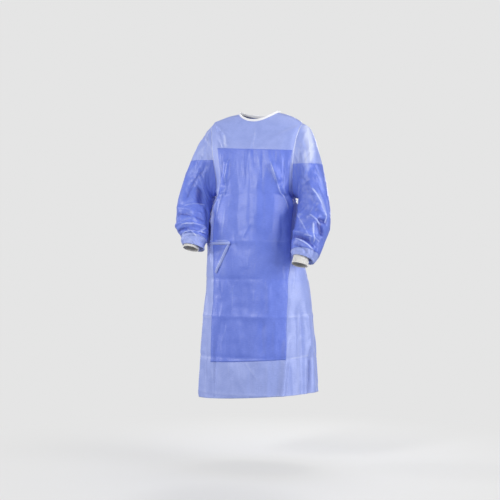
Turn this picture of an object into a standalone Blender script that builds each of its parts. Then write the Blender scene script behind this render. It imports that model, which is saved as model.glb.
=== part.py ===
"""Wrap-over surgical gown in its worn, hollow form, metres, +Z up, facing -Y, the wearer's left at +X.

The origin lies between the shoulders at the height of the neck's sides, where the wearer holds the gown up."""

import math

import bmesh
import bpy
import numpy as np
from mathutils import Vector

CLOTH_WALL = 0.0015
KNIT_WALL = 0.0020
SEAM_GAP = 0.0003
CUT_MARGIN = 0.0003
SEAM_MARGIN = 0.0004
LAYER_STEP = CLOTH_WALL + SEAM_GAP + CUT_MARGIN

SEAM_TURN = 90.0
FLAP_LIFT = 0.007
FLAP_LIFT_FROM = 86.0
FLAP_LIFT_TO = 54.0

# One row for each level from the neck to the hem. wide: half-width at the panel's edge. front_edge, back_edge:
# where the front and the back end in depth. front_mid, back_mid: depth at the centre line. turn: how far the
# row has turned at the edge, in degrees. tilt: rise for each metre to the left. panel_left, panel_right: the
# reinforcement's edges as shares of the half row. flap: how far a back panel's free edge lies past the centre line.
SECTION_COLUMNS = (
    "name", "shift", "wide", "edge_z", "front_edge", "back_edge", "front_mid", "back_mid",
    "front_z", "back_z", "turn", "tilt", "panel_left", "panel_right", "flap",
)
SECTIONS = (
    ("neck", 0.000, 0.087, -0.002, 0.022, 0.022, -0.048, 0.090, -0.040, -0.014, 90, 0.000, -0.60, 0.62, 0.050),
    ("collar", 0.000, 0.118, -0.009, 0.019, 0.019, -0.062, 0.098, -0.064, -0.036, 90, -0.010, -0.63, 0.70, 0.060),
    ("yoke", 0.000, 0.155, -0.022, 0.012, 0.012, -0.075, 0.105, -0.088, -0.060, 90, -0.020, -0.66, 0.78, 0.068),
    ("tip", 0.000, 0.190, -0.042, 0.004, 0.004, -0.086, 0.110, -0.108, -0.084, 90, -0.035, -0.68, 0.84, 0.074),
    ("arm1", 0.000, 0.193, -0.066, -0.034, 0.034, -0.094, 0.113, -0.124, -0.106, 80, -0.040, -0.69, 0.88, 0.079),
    ("arm2", 0.000, 0.185, -0.110, -0.055, 0.056, -0.102, 0.115, -0.141, -0.132, 74, -0.045, -0.70, 0.91, 0.083),
    ("arm3", 0.000, 0.179, -0.158, -0.066, 0.069, -0.108, 0.117, -0.160, -0.160, 72, -0.050, -0.71, 0.923, 0.086),
    ("arm4", 0.000, 0.173, -0.215, -0.066, 0.073, -0.118, 0.118, -0.215, -0.215, 72, -0.045, -0.68, 0.90, 0.088),
    ("arm5", 0.000, 0.167, -0.280, -0.053, 0.060, -0.126, 0.116, -0.280, -0.280, 76, -0.035, -0.645, 0.88, 0.090),
    ("arm6", -0.006, 0.168, -0.330, -0.030, 0.034, -0.131, 0.113, -0.330, -0.330, 82, -0.028, -0.62, 0.865, 0.092),
    ("under", -0.008, 0.169, -0.352, 0.000, 0.000, -0.133, 0.111, -0.352, -0.352, 90, -0.020, -0.61, 0.86, 0.093),
    ("side", -0.014, 0.183, -0.400, 0.000, 0.000, -0.138, 0.107, -0.400, -0.400, 90, -0.010, -0.575, 0.85, 0.096),
    ("waist", -0.022, 0.189, -0.470, -0.003, -0.003, -0.142, 0.104, -0.470, -0.470, 90, 0.000, -0.505, 0.82, 0.100),
    ("belt", -0.022, 0.195, -0.545, -0.003, -0.003, -0.146, 0.106, -0.545, -0.545, 90, 0.005, -0.496, 0.77, 0.104),
    ("hip", -0.013, 0.208, -0.625, -0.002, -0.002, -0.150, 0.118, -0.625, -0.625, 90, 0.012, -0.492, 0.66, 0.110),
    ("seat", -0.005, 0.219, -0.700, 0.000, 0.000, -0.152, 0.130, -0.700, -0.700, 90, 0.020, -0.490, 0.56, 0.115),
    ("thigh", 0.000, 0.226, -0.775, 0.000, 0.000, -0.154, 0.140, -0.775, -0.775, 90, 0.030, -0.489, 0.52, 0.120),
    ("knee", 0.000, 0.234, -0.855, 0.000, 0.000, -0.157, 0.148, -0.855, -0.855, 90, 0.040, -0.488, 0.49, 0.125),
    ("shin", 0.000, 0.241, -0.940, 0.000, 0.000, -0.160, 0.156, -0.940, -0.940, 90, 0.050, -0.478, 0.472, 0.130),
    ("low", 0.000, 0.246, -1.025, 0.000, 0.000, -0.164, 0.162, -1.025, -1.025, 90, 0.058, -0.468, 0.456, 0.135),
    ("calf", 0.000, 0.250, -1.100, 0.000, 0.000, -0.167, 0.167, -1.100, -1.100, 90, 0.062, -0.464, 0.450, 0.139),
    ("hem", 0.000, 0.254, -1.172, 0.000, 0.000, -0.170, 0.170, -1.172, -1.172, 90, 0.066, -0.460, 0.445, 0.143),
)
TIP_ROW = 3
PANEL_TOP_ROW = 6
UNDER_ROW = 10
# Below this row a sleeve is kept off the body's side by BODY_STAND, between the two mid-walls.
BESIDE_ROW = 8
BODY_STAND = 0.0055
BELT_ROW = 13
PANEL_BOTTOM_ROW = 19
HEM_ROW = 21
FRONT_SIDE_STEPS = 5
FRONT_PANEL_STEPS = 13
FRONT_STEPS = 2 * FRONT_SIDE_STEPS + FRONT_PANEL_STEPS
BACK_STEPS = 14

# A fold is a soft ridge, or a trough where its height is negative, from one place to another. turn is the angle
# round the panel, 0 at its centre line and 90 at the seam on the wearer's left.
FOLD_COLUMNS = ("name", "turn_a", "z_a", "turn_b", "z_b", "width", "height")
FRONT_FOLDS = (
    ("bust_left", 39, -0.213, 58, -0.302, 0.014, 0.009),
    ("bust_left_low", 58, -0.302, 78, -0.405, 0.014, 0.008),
    ("bust_right", -38, -0.197, -45, -0.311, 0.014, 0.008),
    ("bust_right_low", -45, -0.311, -50, -0.430, 0.015, 0.008),
    ("yoke_right", -70, -0.045, -44, -0.150, 0.012, 0.006),
    ("yoke_centre", 2, -0.090, 3, -0.200, 0.010, 0.003),
    ("waist_left_hollow", 60, -0.420, 50, -0.580, 0.024, -0.008),
    ("waist_right_hollow", -62, -0.450, -66, -0.620, 0.022, -0.008),
    ("skirt_left_hollow", 63, -0.760, 62, -1.169, 0.030, -0.012),
    ("skirt_left_ridge", 44, -0.900, 37, -1.169, 0.018, 0.010),
    ("side_left_slot", 79, -0.960, 75, -1.169, 0.022, -0.011),
    ("skirt_right_ridge", -62, -0.700, -66, -1.169, 0.024, 0.009),
    ("skirt_centre_hollow", -8, -0.640, -4, -1.100, 0.050, -0.007),
    ("skirt_right_hollow", -32, -0.860, -36, -1.169, 0.024, -0.008),
)
BACK_FOLDS = (
    ("blade_left", 52, -0.180, 44, -0.520, 0.020, 0.009),
    ("blade_right", -50, -0.170, -46, -0.500, 0.020, 0.009),
    ("waist_left", 66, -0.430, 58, -0.640, 0.020, -0.008),
    ("waist_right", -62, -0.430, -60, -0.640, 0.020, -0.008),
    ("skirt_left", 44, -0.660, 50, -1.169, 0.034, 0.013),
    ("skirt_left_hollow", 68, -0.740, 70, -1.169, 0.030, -0.011),
    ("skirt_middle", 12, -0.700, 16, -1.169, 0.032, 0.010),
    ("skirt_right", -54, -0.680, -50, -1.169, 0.034, 0.012),
    ("skirt_right_hollow", -73, -0.780, -72, -1.169, 0.030, -0.010),
)
FOLD_SEAM_FADE = 7.0
HEM_FOLD_Z = -1.165
FOLD_END_FADE = 0.22

# One row for each ring of a sleeve, from the armhole to the wrist. outer and inner are the ring's two ends in
# the front view, mid_y and deep its centre and half-size in depth, lean its forward tilt in degrees.
RING_COLUMNS = ("name", "outer_x", "outer_z", "inner_x", "inner_z", "mid_y", "deep", "lean")
RIGHT_RINGS = (
    ("cap1", 0.2190, -0.066, 0.1890, -0.3470, 0.002, 0.072, 0),
    ("cap2", 0.2480, -0.106, 0.1950, -0.3500, 0.000, 0.075, 0),
    ("cap3", 0.2730, -0.152, 0.1950, -0.3600, -0.004, 0.077, 2),
    ("upper1", 0.2950, -0.205, 0.1950, -0.3650, -0.008, 0.078, 4),
    ("upper2", 0.3140, -0.262, 0.1960, -0.3790, -0.014, 0.078, 7),
    ("elbow1", 0.3278, -0.322, 0.1948, -0.3950, -0.028, 0.077, 12),
    ("elbow2", 0.3359, -0.378, 0.1949, -0.4180, -0.046, 0.075, 17),
    ("fore1", 0.3340, -0.425, 0.1930, -0.4470, -0.065, 0.072, 21),
    ("fore2", 0.3278, -0.466, 0.1908, -0.4800, -0.085, 0.069, 24),
    ("bunch1", 0.3171, -0.498, 0.1881, -0.5080, -0.101, 0.064, 25),
    ("bunch2", 0.2951, -0.522, 0.1871, -0.5290, -0.113, 0.056, 25),
    ("end1", 0.2924, -0.541, 0.1944, -0.5480, -0.122, 0.050, 24),
    ("end2", 0.2818, -0.557, 0.1918, -0.5690, -0.130, 0.043, 22),
)
LEFT_RINGS = (
    ("cap1", 0.2230, -0.070, 0.1780, -0.3600, 0.002, 0.072, 0),
    ("cap2", 0.2420, -0.110, 0.1815, -0.3630, 0.000, 0.075, 0),
    ("cap3", 0.2580, -0.158, 0.1850, -0.3650, -0.004, 0.077, 2),
    ("upper1", 0.2720, -0.208, 0.1860, -0.3690, -0.006, 0.078, 4),
    ("upper2", 0.2860, -0.262, 0.1880, -0.3790, -0.010, 0.078, 7),
    ("elbow1", 0.3010, -0.322, 0.1885, -0.3950, -0.018, 0.077, 12),
    ("elbow2", 0.3150, -0.380, 0.1885, -0.4180, -0.030, 0.076, 18),
    ("fore1", 0.3230, -0.432, 0.1870, -0.4500, -0.045, 0.074, 24),
    ("fore2", 0.3240, -0.478, 0.1860, -0.4870, -0.063, 0.072, 28),
    ("bunch1", 0.3140, -0.520, 0.1840, -0.5230, -0.082, 0.069, 30),
    ("bunch2", 0.3060, -0.556, 0.1840, -0.5560, -0.100, 0.064, 30),
    ("end1", 0.2970, -0.592, 0.1900, -0.5830, -0.117, 0.056, 28),
    ("end2", 0.2820, -0.620, 0.1970, -0.6020, -0.132, 0.047, 24),
)

# A fold on a sleeve, round angle 0 at the outer side, 90 at the front and 180 at the inner side, and ring
# number counted from the armhole.
SLEEVE_FOLD_COLUMNS = ("name", "angle_a", "ring_a", "angle_b", "ring_b", "width", "height")
RIGHT_FOLDS = (
    ("long_crease", 40, 4.5, 80, 7.6, 0.012, 0.006),
    ("front_hollow", 110, 4.0, 130, 7.0, 0.022, -0.008),
    ("elbow_ridge", 20, 7.6, 150, 8.0, 0.010, 0.006),
    ("elbow_groove", 10, 8.3, 170, 8.6, 0.009, -0.006),
    ("bunch_ridge", -40, 9.4, 200, 9.6, 0.009, 0.006),
    ("bunch_groove", -10, 10.4, 190, 10.3, 0.007, -0.007),
    ("back_groove", 210, 5.5, 320, 6.5, 0.014, -0.007),
    ("back_ridge", 200, 7.6, 330, 8.0, 0.012, 0.006),
)
LEFT_FOLDS = (
    ("long_ridge", 88, 4.6, 42, 8.4, 0.012, 0.009),
    ("inner_line", 150, 6.4, 95, 9.6, 0.012, 0.006),
    ("elbow_hook", 70, 7.8, 20, 8.6, 0.010, 0.007),
    ("elbow_hollow", 60, 9.0, 15, 8.9, 0.010, -0.008),
    ("bunch_ridge", 170, 9.6, 30, 11.2, 0.010, 0.007),
    ("bunch_groove", 170, 10.2, 20, 11.8, 0.008, -0.007),
    ("back_groove", 210, 6.0, 320, 7.2, 0.014, -0.007),
    ("back_ridge", 190, 9.0, 320, 9.6, 0.012, 0.007),
)
SIDES = {
    "right": (-1.0, RIGHT_RINGS, RIGHT_FOLDS),
    "left": (1.0, LEFT_RINGS, LEFT_FOLDS),
}
LAST_RING = float(len(RIGHT_RINGS))
SLEEVE_TURNS = 28
ARM_PER_DEGREE = 0.0013
ARM_PER_RING = 0.045
REINFORCED_FROM_RING = 0.5
REINFORCED_TOP_Z = {"right": -0.198, "left": -0.222}
REINFORCED_TO_RING = {"right": 11, "left": 12}

# Centre of each cuff's top and bottom edge, and its radius at mid-wall.
CUFF_COLUMNS = ("side", "top_x", "top_y", "top_z", "bottom_x", "bottom_y", "bottom_z", "radius")
CUFFS = (
    ("right", -0.2380, -0.1180, -0.506, -0.2440, -0.1420, -0.568, 0.0310),
    ("left", 0.2380, -0.128, -0.566, 0.2300, -0.152, -0.633, 0.0312),
)
CUFF_TURNS = 20
CUFF_ROWS = 2
CUFF_JOIN = 0.42
CUFF_CLEAR = 0.0026

BINDING_HEIGHT = 0.0095
BINDING_WALL = 0.0022
BINDING_LEAN = 0.35
BINDING_STEPS = 46

BELT_WIDTH = 0.012
BELT_SEWN_COLUMNS = 2
KNOT_PANEL_COLUMN = 3
BELT_SLACK = 0.0004
KNOT_SIZE = (0.0100, 0.0045, 0.0085)
KNOT_SQUARE = 0.55
KNOT_STAND = 0.0077
BELT_END_TURN = -37.5
BELT_END_Z = -0.668
BELT_END_WIDTH = 0.010
BELT_END_STEPS = 9
BELT_END_STAND = 0.0054

TAB_WIDTH_TURN = (-26.0, 6.0)
TAB_ROWS = (0.10, 0.62)
TAB_STEPS = 8

BASE_BLUE = (0.36, 0.43, 0.75)
PANEL_BLUE = (0.17, 0.23, 0.62)
KNIT_WHITE = (0.80, 0.79, 0.77)
BINDING_WHITE = (0.88, 0.88, 0.92)


def clear_scene():
    for found in list(bpy.data.objects):
        bpy.data.objects.remove(found, do_unlink=True)


def cloth_material(name, colour):
    made = bpy.data.materials.new(name)
    made.use_nodes = True
    shader = made.node_tree.nodes["Principled BSDF"]
    shader.inputs["Base Color"].default_value = (*colour, 1.0)
    shader.inputs["Roughness"].default_value = 0.8
    shader.inputs["Metallic"].default_value = 0.0
    return made


def smooth(value):
    held = min(1.0, max(0.0, value))
    return held * held * (3.0 - 2.0 * held)


def row_at(names, rows, place):
    """The table's row at a fractional place, on a smooth curve through the rows."""
    last = len(rows) - 1
    low = min(int(max(place, 0.0)), last - 1)
    share = place - low
    near = [rows[min(max(low + step, 0), last)][1:] for step in (-1, 0, 1, 2)]
    before, start, end, after = (np.array(row, float) for row in near)
    values = 0.5 * (
        2.0 * start
        + (end - before) * share
        + (2.0 * before - 5.0 * start + 4.0 * end - after) * share**2
        + (3.0 * start - before - 3.0 * end + after) * share**3
    )
    return dict(zip(names[1:], values))


def torso_base(face, share, place):
    """A point of the torso's mid-wall. share runs from -1 to 1 across the front or the back at a row."""
    row = row_at(SECTION_COLUMNS, SECTIONS, place)
    turn = math.radians(row["turn"])
    angle = share * turn
    inward = (math.cos(angle) - math.cos(turn)) / (1.0 - math.cos(turn))
    x = row["shift"] + row["wide"] * math.sin(angle) / math.sin(turn)
    edge_y = row[face + "_edge"]
    y = edge_y + (row[face + "_mid"] - edge_y) * inward
    z = row["edge_z"] + (row[face + "_z"] - row["edge_z"]) * inward**2 + row["tilt"] * x
    return Vector((x, y, z))


def torso_normal(face, share, place):
    step = 0.01
    across = torso_base(face, share + step, place) - torso_base(face, share - step, place)
    down = torso_base(face, share, min(place + step, HEM_ROW)) - torso_base(face, share, max(place - step, 0.0))
    normal = down.cross(across).normalized()
    return -normal if face == "back" else normal


def fold_height(folds, turn, z, wide):
    """How far the folds push a point out, from its angle round the panel and its height."""
    per_degree = wide * math.pi / 180.0
    total = 0.0
    for _, turn_a, z_a, turn_b, z_b, width, height in folds:
        along = Vector(((turn_b - turn_a) * per_degree, z_b - z_a))
        here = Vector(((turn - turn_a) * per_degree, z - z_a))
        share = here.dot(along) / along.length_squared
        held = min(1.0, max(0.0, share))
        far = (here - along * held).length
        open_end = 1.0 if z_b < HEM_FOLD_Z else smooth((1.0 - share) / FOLD_END_FADE)
        total += height * smooth(share / FOLD_END_FADE) * open_end * math.exp(-((far / width) ** 2))
    return total * smooth((SEAM_TURN - abs(turn)) / FOLD_SEAM_FADE)


def torso_point(face, share, place, offset=0.0):
    """A folded point of the torso, moved out from the mid-wall by offset."""
    point = torso_base(face, share, place)
    row = row_at(SECTION_COLUMNS, SECTIONS, place)
    folds = FRONT_FOLDS if face == "front" else BACK_FOLDS
    raised = fold_height(folds, share * SEAM_TURN, point.z, row["wide"])
    return point + torso_normal(face, share, place) * (raised + offset)


def seam_share(face, place):
    """The share of the half row at which a panel stops, half a seam gap short of its edge."""
    step = 0.001
    length = (torso_base(face, 1.0, place) - torso_base(face, 1.0 - step, place)).length
    return 1.0 - step * (SEAM_GAP + SEAM_MARGIN) / 2.0 / length


def flap_lift(turn):
    """How far the outer back flap stands off the inner one, by angle from the centre back."""
    return FLAP_LIFT * smooth((FLAP_LIFT_FROM - turn) / (FLAP_LIFT_FROM - FLAP_LIFT_TO))


def body_rows():
    """Row places from neck to hem: half steps along the armhole, so that it is round, and single steps elsewhere."""
    top = [float(row) for row in range(TIP_ROW)]
    arm = [TIP_ROW + 0.5 * step for step in range(2 * (UNDER_ROW - TIP_ROW))]
    skirt = [float(row) for row in range(UNDER_ROW, HEM_ROW + 1)]
    return top + arm + skirt


def grid_mesh(name, across, down, place_of, closed=False):
    """A grid of across by down squares, each split one way, with its corners where place_of(column, row) says."""
    made = bmesh.new()
    bmesh.ops.create_grid(made, x_segments=across, y_segments=down, size=1.0)
    bmesh.ops.triangulate(made, faces=made.faces, quad_method="FIXED")
    for corner in made.verts:
        column = round((corner.co.x + 1.0) / 2.0 * across)
        row = round((1.0 - corner.co.y) / 2.0 * down)
        corner.co = place_of(column, row)
    if closed:
        bmesh.ops.remove_doubles(made, verts=made.verts, dist=1e-5)
    made.normal_update()
    mesh = bpy.data.meshes.new(name)
    made.to_mesh(mesh)
    made.free()
    return mesh


def add_shell(name, mesh, wall, material, collection):
    """The mesh as an object, with its wall centred on the surface."""
    mesh.materials.append(material)
    mesh.shade_smooth()
    made = bpy.data.objects.new(name, mesh)
    collection.objects.link(made)
    walled = made.modifiers.new("Wall", "SOLIDIFY")
    walled.thickness = wall
    walled.offset = 0.0
    return made


def front_share(column, place):
    """Share of the half row at a column. Two columns run along the reinforcement's edges."""
    row = row_at(SECTION_COLUMNS, SECTIONS, place)
    edge = seam_share("front", place)
    if column <= FRONT_SIDE_STEPS:
        return -edge + (row["panel_left"] + edge) * column / FRONT_SIDE_STEPS
    if column <= FRONT_SIDE_STEPS + FRONT_PANEL_STEPS:
        along = (column - FRONT_SIDE_STEPS) / FRONT_PANEL_STEPS
        return row["panel_left"] + (row["panel_right"] - row["panel_left"]) * along
    along = (column - FRONT_SIDE_STEPS - FRONT_PANEL_STEPS) / FRONT_SIDE_STEPS
    return row["panel_right"] + (edge - row["panel_right"]) * along


def build_front(material, collection):
    rows = body_rows()

    def place_of(column, row):
        return torso_point("front", front_share(column, rows[row]), rows[row])

    mesh = grid_mesh("front", FRONT_STEPS, len(rows) - 1, place_of)
    return add_shell("front", mesh, CLOTH_WALL, material, collection)


def build_front_reinforcement(material, collection):
    rows = [row for row in body_rows() if PANEL_TOP_ROW <= row <= PANEL_BOTTOM_ROW]

    def place_of(column, row):
        share = front_share(column + FRONT_SIDE_STEPS, rows[row])
        return torso_point("front", share, rows[row], LAYER_STEP)

    mesh = grid_mesh("front_reinforcement", FRONT_PANEL_STEPS, len(rows) - 1, place_of)
    return add_shell("front_reinforcement", mesh, CLOTH_WALL, material, collection)


def back_point(side, turn, place, offset=0.0):
    """A point of a back panel. turn runs from 90 at its seam through 0 at the centre back to the free edge."""
    lift = flap_lift(turn) if side > 0 else 0.0
    return torso_point("back", side * turn / SEAM_TURN, place, offset + lift)


def flap_turn(place):
    """How many degrees past the centre back a back panel's free edge lies at a row."""
    row = row_at(SECTION_COLUMNS, SECTIONS, place)
    turn = math.radians(row["turn"])
    return math.asin(row["flap"] * math.sin(turn) / row["wide"]) / turn * SEAM_TURN


def back_turn(column, place):
    start = seam_share("back", place) * SEAM_TURN
    return start - (start + flap_turn(place)) * column / BACK_STEPS


def build_back(name, side, material, collection):
    rows = body_rows()

    def place_of(column, row):
        return back_point(side, back_turn(column, rows[row]), rows[row])

    mesh = grid_mesh(name, BACK_STEPS, len(rows) - 1, place_of)
    return add_shell(name, mesh, CLOTH_WALL, material, collection)


def armhole_point(side, angle):
    """A point of the armhole's edge. angle is 0 at the shoulder, 90 in front and 180 under the arm."""
    face = "front" if angle <= 180.0 else "back"
    share = angle / 180.0 if angle <= 180.0 else (360.0 - angle) / 180.0
    place = TIP_ROW + (UNDER_ROW - TIP_ROW) * share
    return torso_base(face, side, place), face, place


def ring_point(rings, side, number, angle):
    """A point of a sleeve's ring. number counts from 1 at the ring beside the armhole."""
    row = row_at(RING_COLUMNS, rings, number - 1.0)
    outer = Vector((side * row["outer_x"], row["mid_y"], row["outer_z"]))
    inner = Vector((side * row["inner_x"], row["mid_y"], row["inner_z"]))
    lean = math.radians(row["lean"])
    forward = Vector((0.0, -math.cos(lean), math.sin(lean))) * row["deep"]
    turn = math.radians(angle)
    return (outer + inner) / 2.0 + (outer - inner) / 2.0 * math.cos(turn) + forward * math.sin(turn)


def seam_step(kink):
    """How far past an edge a wall may start when it leaves the edge at an angle, to stay a seam gap clear."""
    half = CLOTH_WALL / 2.0
    clear = SEAM_GAP + SEAM_MARGIN
    if kink <= math.pi / 2.0:
        return clear + half * math.sin(kink)
    return (clear + half - half * math.cos(kink)) / max(math.sin(kink), 0.35)


def sleeve_start(side, rings, angle):
    """Where the sleeve's wall starts beside the armhole, a seam gap from the panel's edge."""
    edge, face, place = armhole_point(side, angle)
    out = (edge - torso_base(face, side * 0.98, place)).normalized()
    along = (ring_point(rings, side, 1.0, angle) - edge).normalized()
    kink = math.acos(max(-1.0, min(1.0, out.dot(along))))
    return edge + along * seam_step(kink)


def cuff_frame(side_name):
    for name, top_x, top_y, top_z, bottom_x, bottom_y, bottom_z, radius in CUFFS:
        if name == side_name:
            return Vector((top_x, top_y, top_z)), Vector((bottom_x, bottom_y, bottom_z)), radius
    return None


def cuff_point(side_name, share, angle, offset=0.0):
    """A point of the cuff's mid-wall, share of the way from its top edge to its bottom edge."""
    top, bottom, radius = cuff_frame(side_name)
    side = 1.0 if side_name == "left" else -1.0
    axis = (bottom - top).normalized()
    outward = Vector((side, 0.0, 0.0))
    outward = (outward - axis * outward.dot(axis)).normalized()
    forward = Vector((0.0, -1.0, 0.0))
    forward = (forward - axis * forward.dot(axis) - outward * forward.dot(outward)).normalized()
    turn = math.radians(angle)
    centre = top + (bottom - top) * share
    return centre + (outward * math.cos(turn) + forward * math.sin(turn)) * (radius + offset)


def beside_body(point):
    """The point, moved out to where the sleeve lies against the body's side if it would be any closer."""
    heights = [-row[3] for row in SECTIONS[BESIDE_ROW:]]
    if -point.z < heights[0]:
        return point
    place = BESIDE_ROW + float(np.interp(-point.z, heights, range(len(heights))))
    row = row_at(SECTION_COLUMNS, SECTIONS, place)
    face = "front" if point.y < (row["front_edge"] + row["back_edge"]) / 2.0 else "back"
    turn = math.radians(row["turn"])
    half = (row[face + "_mid"] - row[face + "_edge"]) / (1.0 - math.cos(turn))
    centre = Vector((row["shift"], row[face + "_edge"] - half * math.cos(turn), point.z))
    wide = row["wide"] / math.sin(turn) + BODY_STAND
    reach = math.hypot((point.x - centre.x) / wide, (point.y - centre.y) / (abs(half) + BODY_STAND))
    return point if reach >= 1.0 else centre + (point - centre) / reach


def sleeve_surface(side_name, angle, number):
    """A point of the sleeve without folds, number 0 at the armhole and one past the last ring at the cuff."""
    side, rings, _ = SIDES[side_name]
    if number < 1.0:
        start = sleeve_start(side, rings, angle)
        return start + (beside_body(ring_point(rings, side, 1.0, angle)) - start) * number
    if number <= LAST_RING:
        return beside_body(ring_point(rings, side, number, angle))
    share = number - LAST_RING
    tucked = cuff_point(side_name, CUFF_JOIN, angle, CUFF_CLEAR)
    return beside_body(ring_point(rings, side, LAST_RING, angle)) * (1.0 - share) + tucked * share


def sleeve_normal(side_name, angle, number):
    step = 0.05
    low = max(number - step, 0.0)
    high = min(number + step, LAST_RING + 1.0)
    along = sleeve_surface(side_name, angle, high) - sleeve_surface(side_name, angle, low)
    around = sleeve_surface(side_name, (angle + 2.0) % 360.0, number)
    around = around - sleeve_surface(side_name, (angle - 2.0) % 360.0, number)
    return (around.cross(along) * SIDES[side_name][0]).normalized()


def sleeve_fold(side_name, angle, number):
    folds = SIDES[side_name][2]
    total = 0.0
    for _, angle_a, ring_a, angle_b, ring_b, width, height in folds:
        for turned in (angle, angle - 360.0):
            along = Vector(((angle_b - angle_a) * ARM_PER_DEGREE, (ring_b - ring_a) * ARM_PER_RING))
            here = Vector(((turned - angle_a) * ARM_PER_DEGREE, (number - ring_a) * ARM_PER_RING))
            share = here.dot(along) / along.length_squared
            held = min(1.0, max(0.0, share))
            far = (here - along * held).length
            ends = smooth(share / FOLD_END_FADE) * smooth((1.0 - share) / FOLD_END_FADE)
            total += height * ends * math.exp(-((far / width) ** 2))
    return total


def sleeve_point(side_name, angle, number, offset=0.0):
    point = sleeve_surface(side_name, angle, number)
    normal = sleeve_normal(side_name, angle, number)
    folded = point + normal * sleeve_fold(side_name, angle, number)
    return (beside_body(folded) if number >= 1.0 else folded) + normal * offset


def sleeve_rows():
    """Ring places of a sleeve, closer where it bunches."""
    upper = [0.0, 0.5, 1.0, 2.0, 3.0, 4.0, 5.0, 6.0, 7.0, 8.0, 8.5]
    lower = [9.0, 9.5, 10.0, 10.5, 11.0, 12.0]
    return upper + lower + [LAST_RING, LAST_RING + 1.0]


def build_sleeve(side_name, material, collection):
    rows = sleeve_rows()
    flip = SIDES[side_name][0] < 0.0

    def place_of(column, row):
        angle = 360.0 * (column % SLEEVE_TURNS) / SLEEVE_TURNS
        angle = (360.0 - angle) % 360.0 if flip else angle
        return sleeve_point(side_name, angle, rows[row])

    name = "sleeve_" + side_name
    mesh = grid_mesh(name, SLEEVE_TURNS, len(rows) - 1, place_of, closed=True)
    return add_shell(name, mesh, CLOTH_WALL, material, collection)


def build_sleeve_reinforcement(side_name, material, collection):
    last = REINFORCED_TO_RING[side_name]
    rows = [row for row in sleeve_rows() if REINFORCED_FROM_RING <= row <= last]
    flip = SIDES[side_name][0] < 0.0

    def place_of(column, row):
        angle = 360.0 * (column % SLEEVE_TURNS) / SLEEVE_TURNS
        angle = (360.0 - angle) % 360.0 if flip else angle
        return sleeve_point(side_name, angle, rows[row], LAYER_STEP)

    name = "sleeve_reinforcement_" + side_name
    mesh = grid_mesh(name, SLEEVE_TURNS, len(rows) - 1, place_of, closed=True)
    made = bmesh.new()
    made.from_mesh(mesh)
    everything = made.verts[:] + made.edges[:] + made.faces[:]
    cut_at = Vector((0.0, 0.0, REINFORCED_TOP_Z[side_name]))
    bmesh.ops.bisect_plane(made, geom=everything, dist=1e-6, plane_co=cut_at,
                           plane_no=Vector((0.0, 0.0, 1.0)), clear_outer=True)
    made.to_mesh(mesh)
    made.free()
    return add_shell(name, mesh, CLOTH_WALL, material, collection)


def build_cuff(side_name, material, collection):
    flip = SIDES[side_name][0] < 0.0

    def place_of(column, row):
        angle = 360.0 * (column % CUFF_TURNS) / CUFF_TURNS
        angle = (360.0 - angle) % 360.0 if flip else angle
        return cuff_point(side_name, row / CUFF_ROWS, angle)

    name = "cuff_" + side_name
    mesh = grid_mesh(name, CUFF_TURNS, CUFF_ROWS, place_of, closed=True)
    return add_shell(name, mesh, KNIT_WALL, material, collection)


def round_body(turn, place, offset=0.0):
    """A point of the gown by its angle all round: 0 in front, 90 at the left seam, past 180 on the outer flap."""
    if abs(turn) <= SEAM_TURN:
        return torso_point("front", turn / SEAM_TURN, place, offset)
    side = 1.0 if turn > 0.0 else -1.0
    return back_point(side, 180.0 - abs(turn), place, offset)


def build_binding(material, collection):
    reach = 180.0 + flap_turn(0.0)

    def place_of(column, row):
        turn = -reach + 2.0 * reach * column / BINDING_STEPS
        edge = round_body(turn, 0.0)
        upward = (edge - round_body(turn, 0.2)).normalized() * BINDING_LEAN
        upward = (upward + Vector((0.0, 0.0, 1.0))).normalized()
        start = SEAM_GAP + CUT_MARGIN + CLOTH_WALL / 2.0
        return edge + upward * (start + BINDING_HEIGHT * row)

    mesh = grid_mesh("neck_binding", BINDING_STEPS, 1, place_of)
    return add_shell("neck_binding", mesh, BINDING_WALL, material, collection)


def build_tab(material, collection):
    def place_of(column, row):
        turn = TAB_WIDTH_TURN[1] + (TAB_WIDTH_TURN[0] - TAB_WIDTH_TURN[1]) * column / TAB_STEPS
        place = TAB_ROWS[0] + (TAB_ROWS[1] - TAB_ROWS[0]) * row / 3.0
        return back_point(1.0, turn, place, LAYER_STEP + CUT_MARGIN)

    mesh = grid_mesh("neck_tab", TAB_STEPS, 3, place_of)
    return add_shell("neck_tab", mesh, CLOTH_WALL, material, collection)


def row_of_height(turn, z):
    """The row place at which the gown has a height, at an angle round the body."""
    low, high = float(UNDER_ROW), float(HEM_ROW)
    for _ in range(30):
        middle = (low + high) / 2.0
        if round_body(turn, middle).z > z:
            low = middle
        else:
            high = middle
    return low


def belt_stations():
    """The panels' columns that the belt follows, as a way to read a point from a row place and a stand-off."""
    def on_back(side, column, layers):
        def read(place):
            turn = back_turn(column, place)
            return back_point(side, turn, place, LAYER_STEP * layers + BELT_SLACK)
        return read

    def on_front(column, layers):
        def read(place):
            return torso_point("front", front_share(column, place), place, LAYER_STEP * layers + BELT_SLACK)
        return read

    outer = [on_back(1.0, BACK_STEPS - BELT_SEWN_COLUMNS + 1 + step, 1) for step in range(BELT_SEWN_COLUMNS)]
    place = float(BELT_ROW)
    bare = [column for column in range(BACK_STEPS, -1, -1) if back_turn(column, place) > flap_turn(place)]
    inner = [on_back(-1.0, column, 1) for column in bare]
    side = [on_front(column, 1) for column in range(1, FRONT_SIDE_STEPS)]
    panel = [on_front(FRONT_SIDE_STEPS + step, 2) for step in range(KNOT_PANEL_COLUMN + 1)]
    return outer + inner + side + panel


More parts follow.
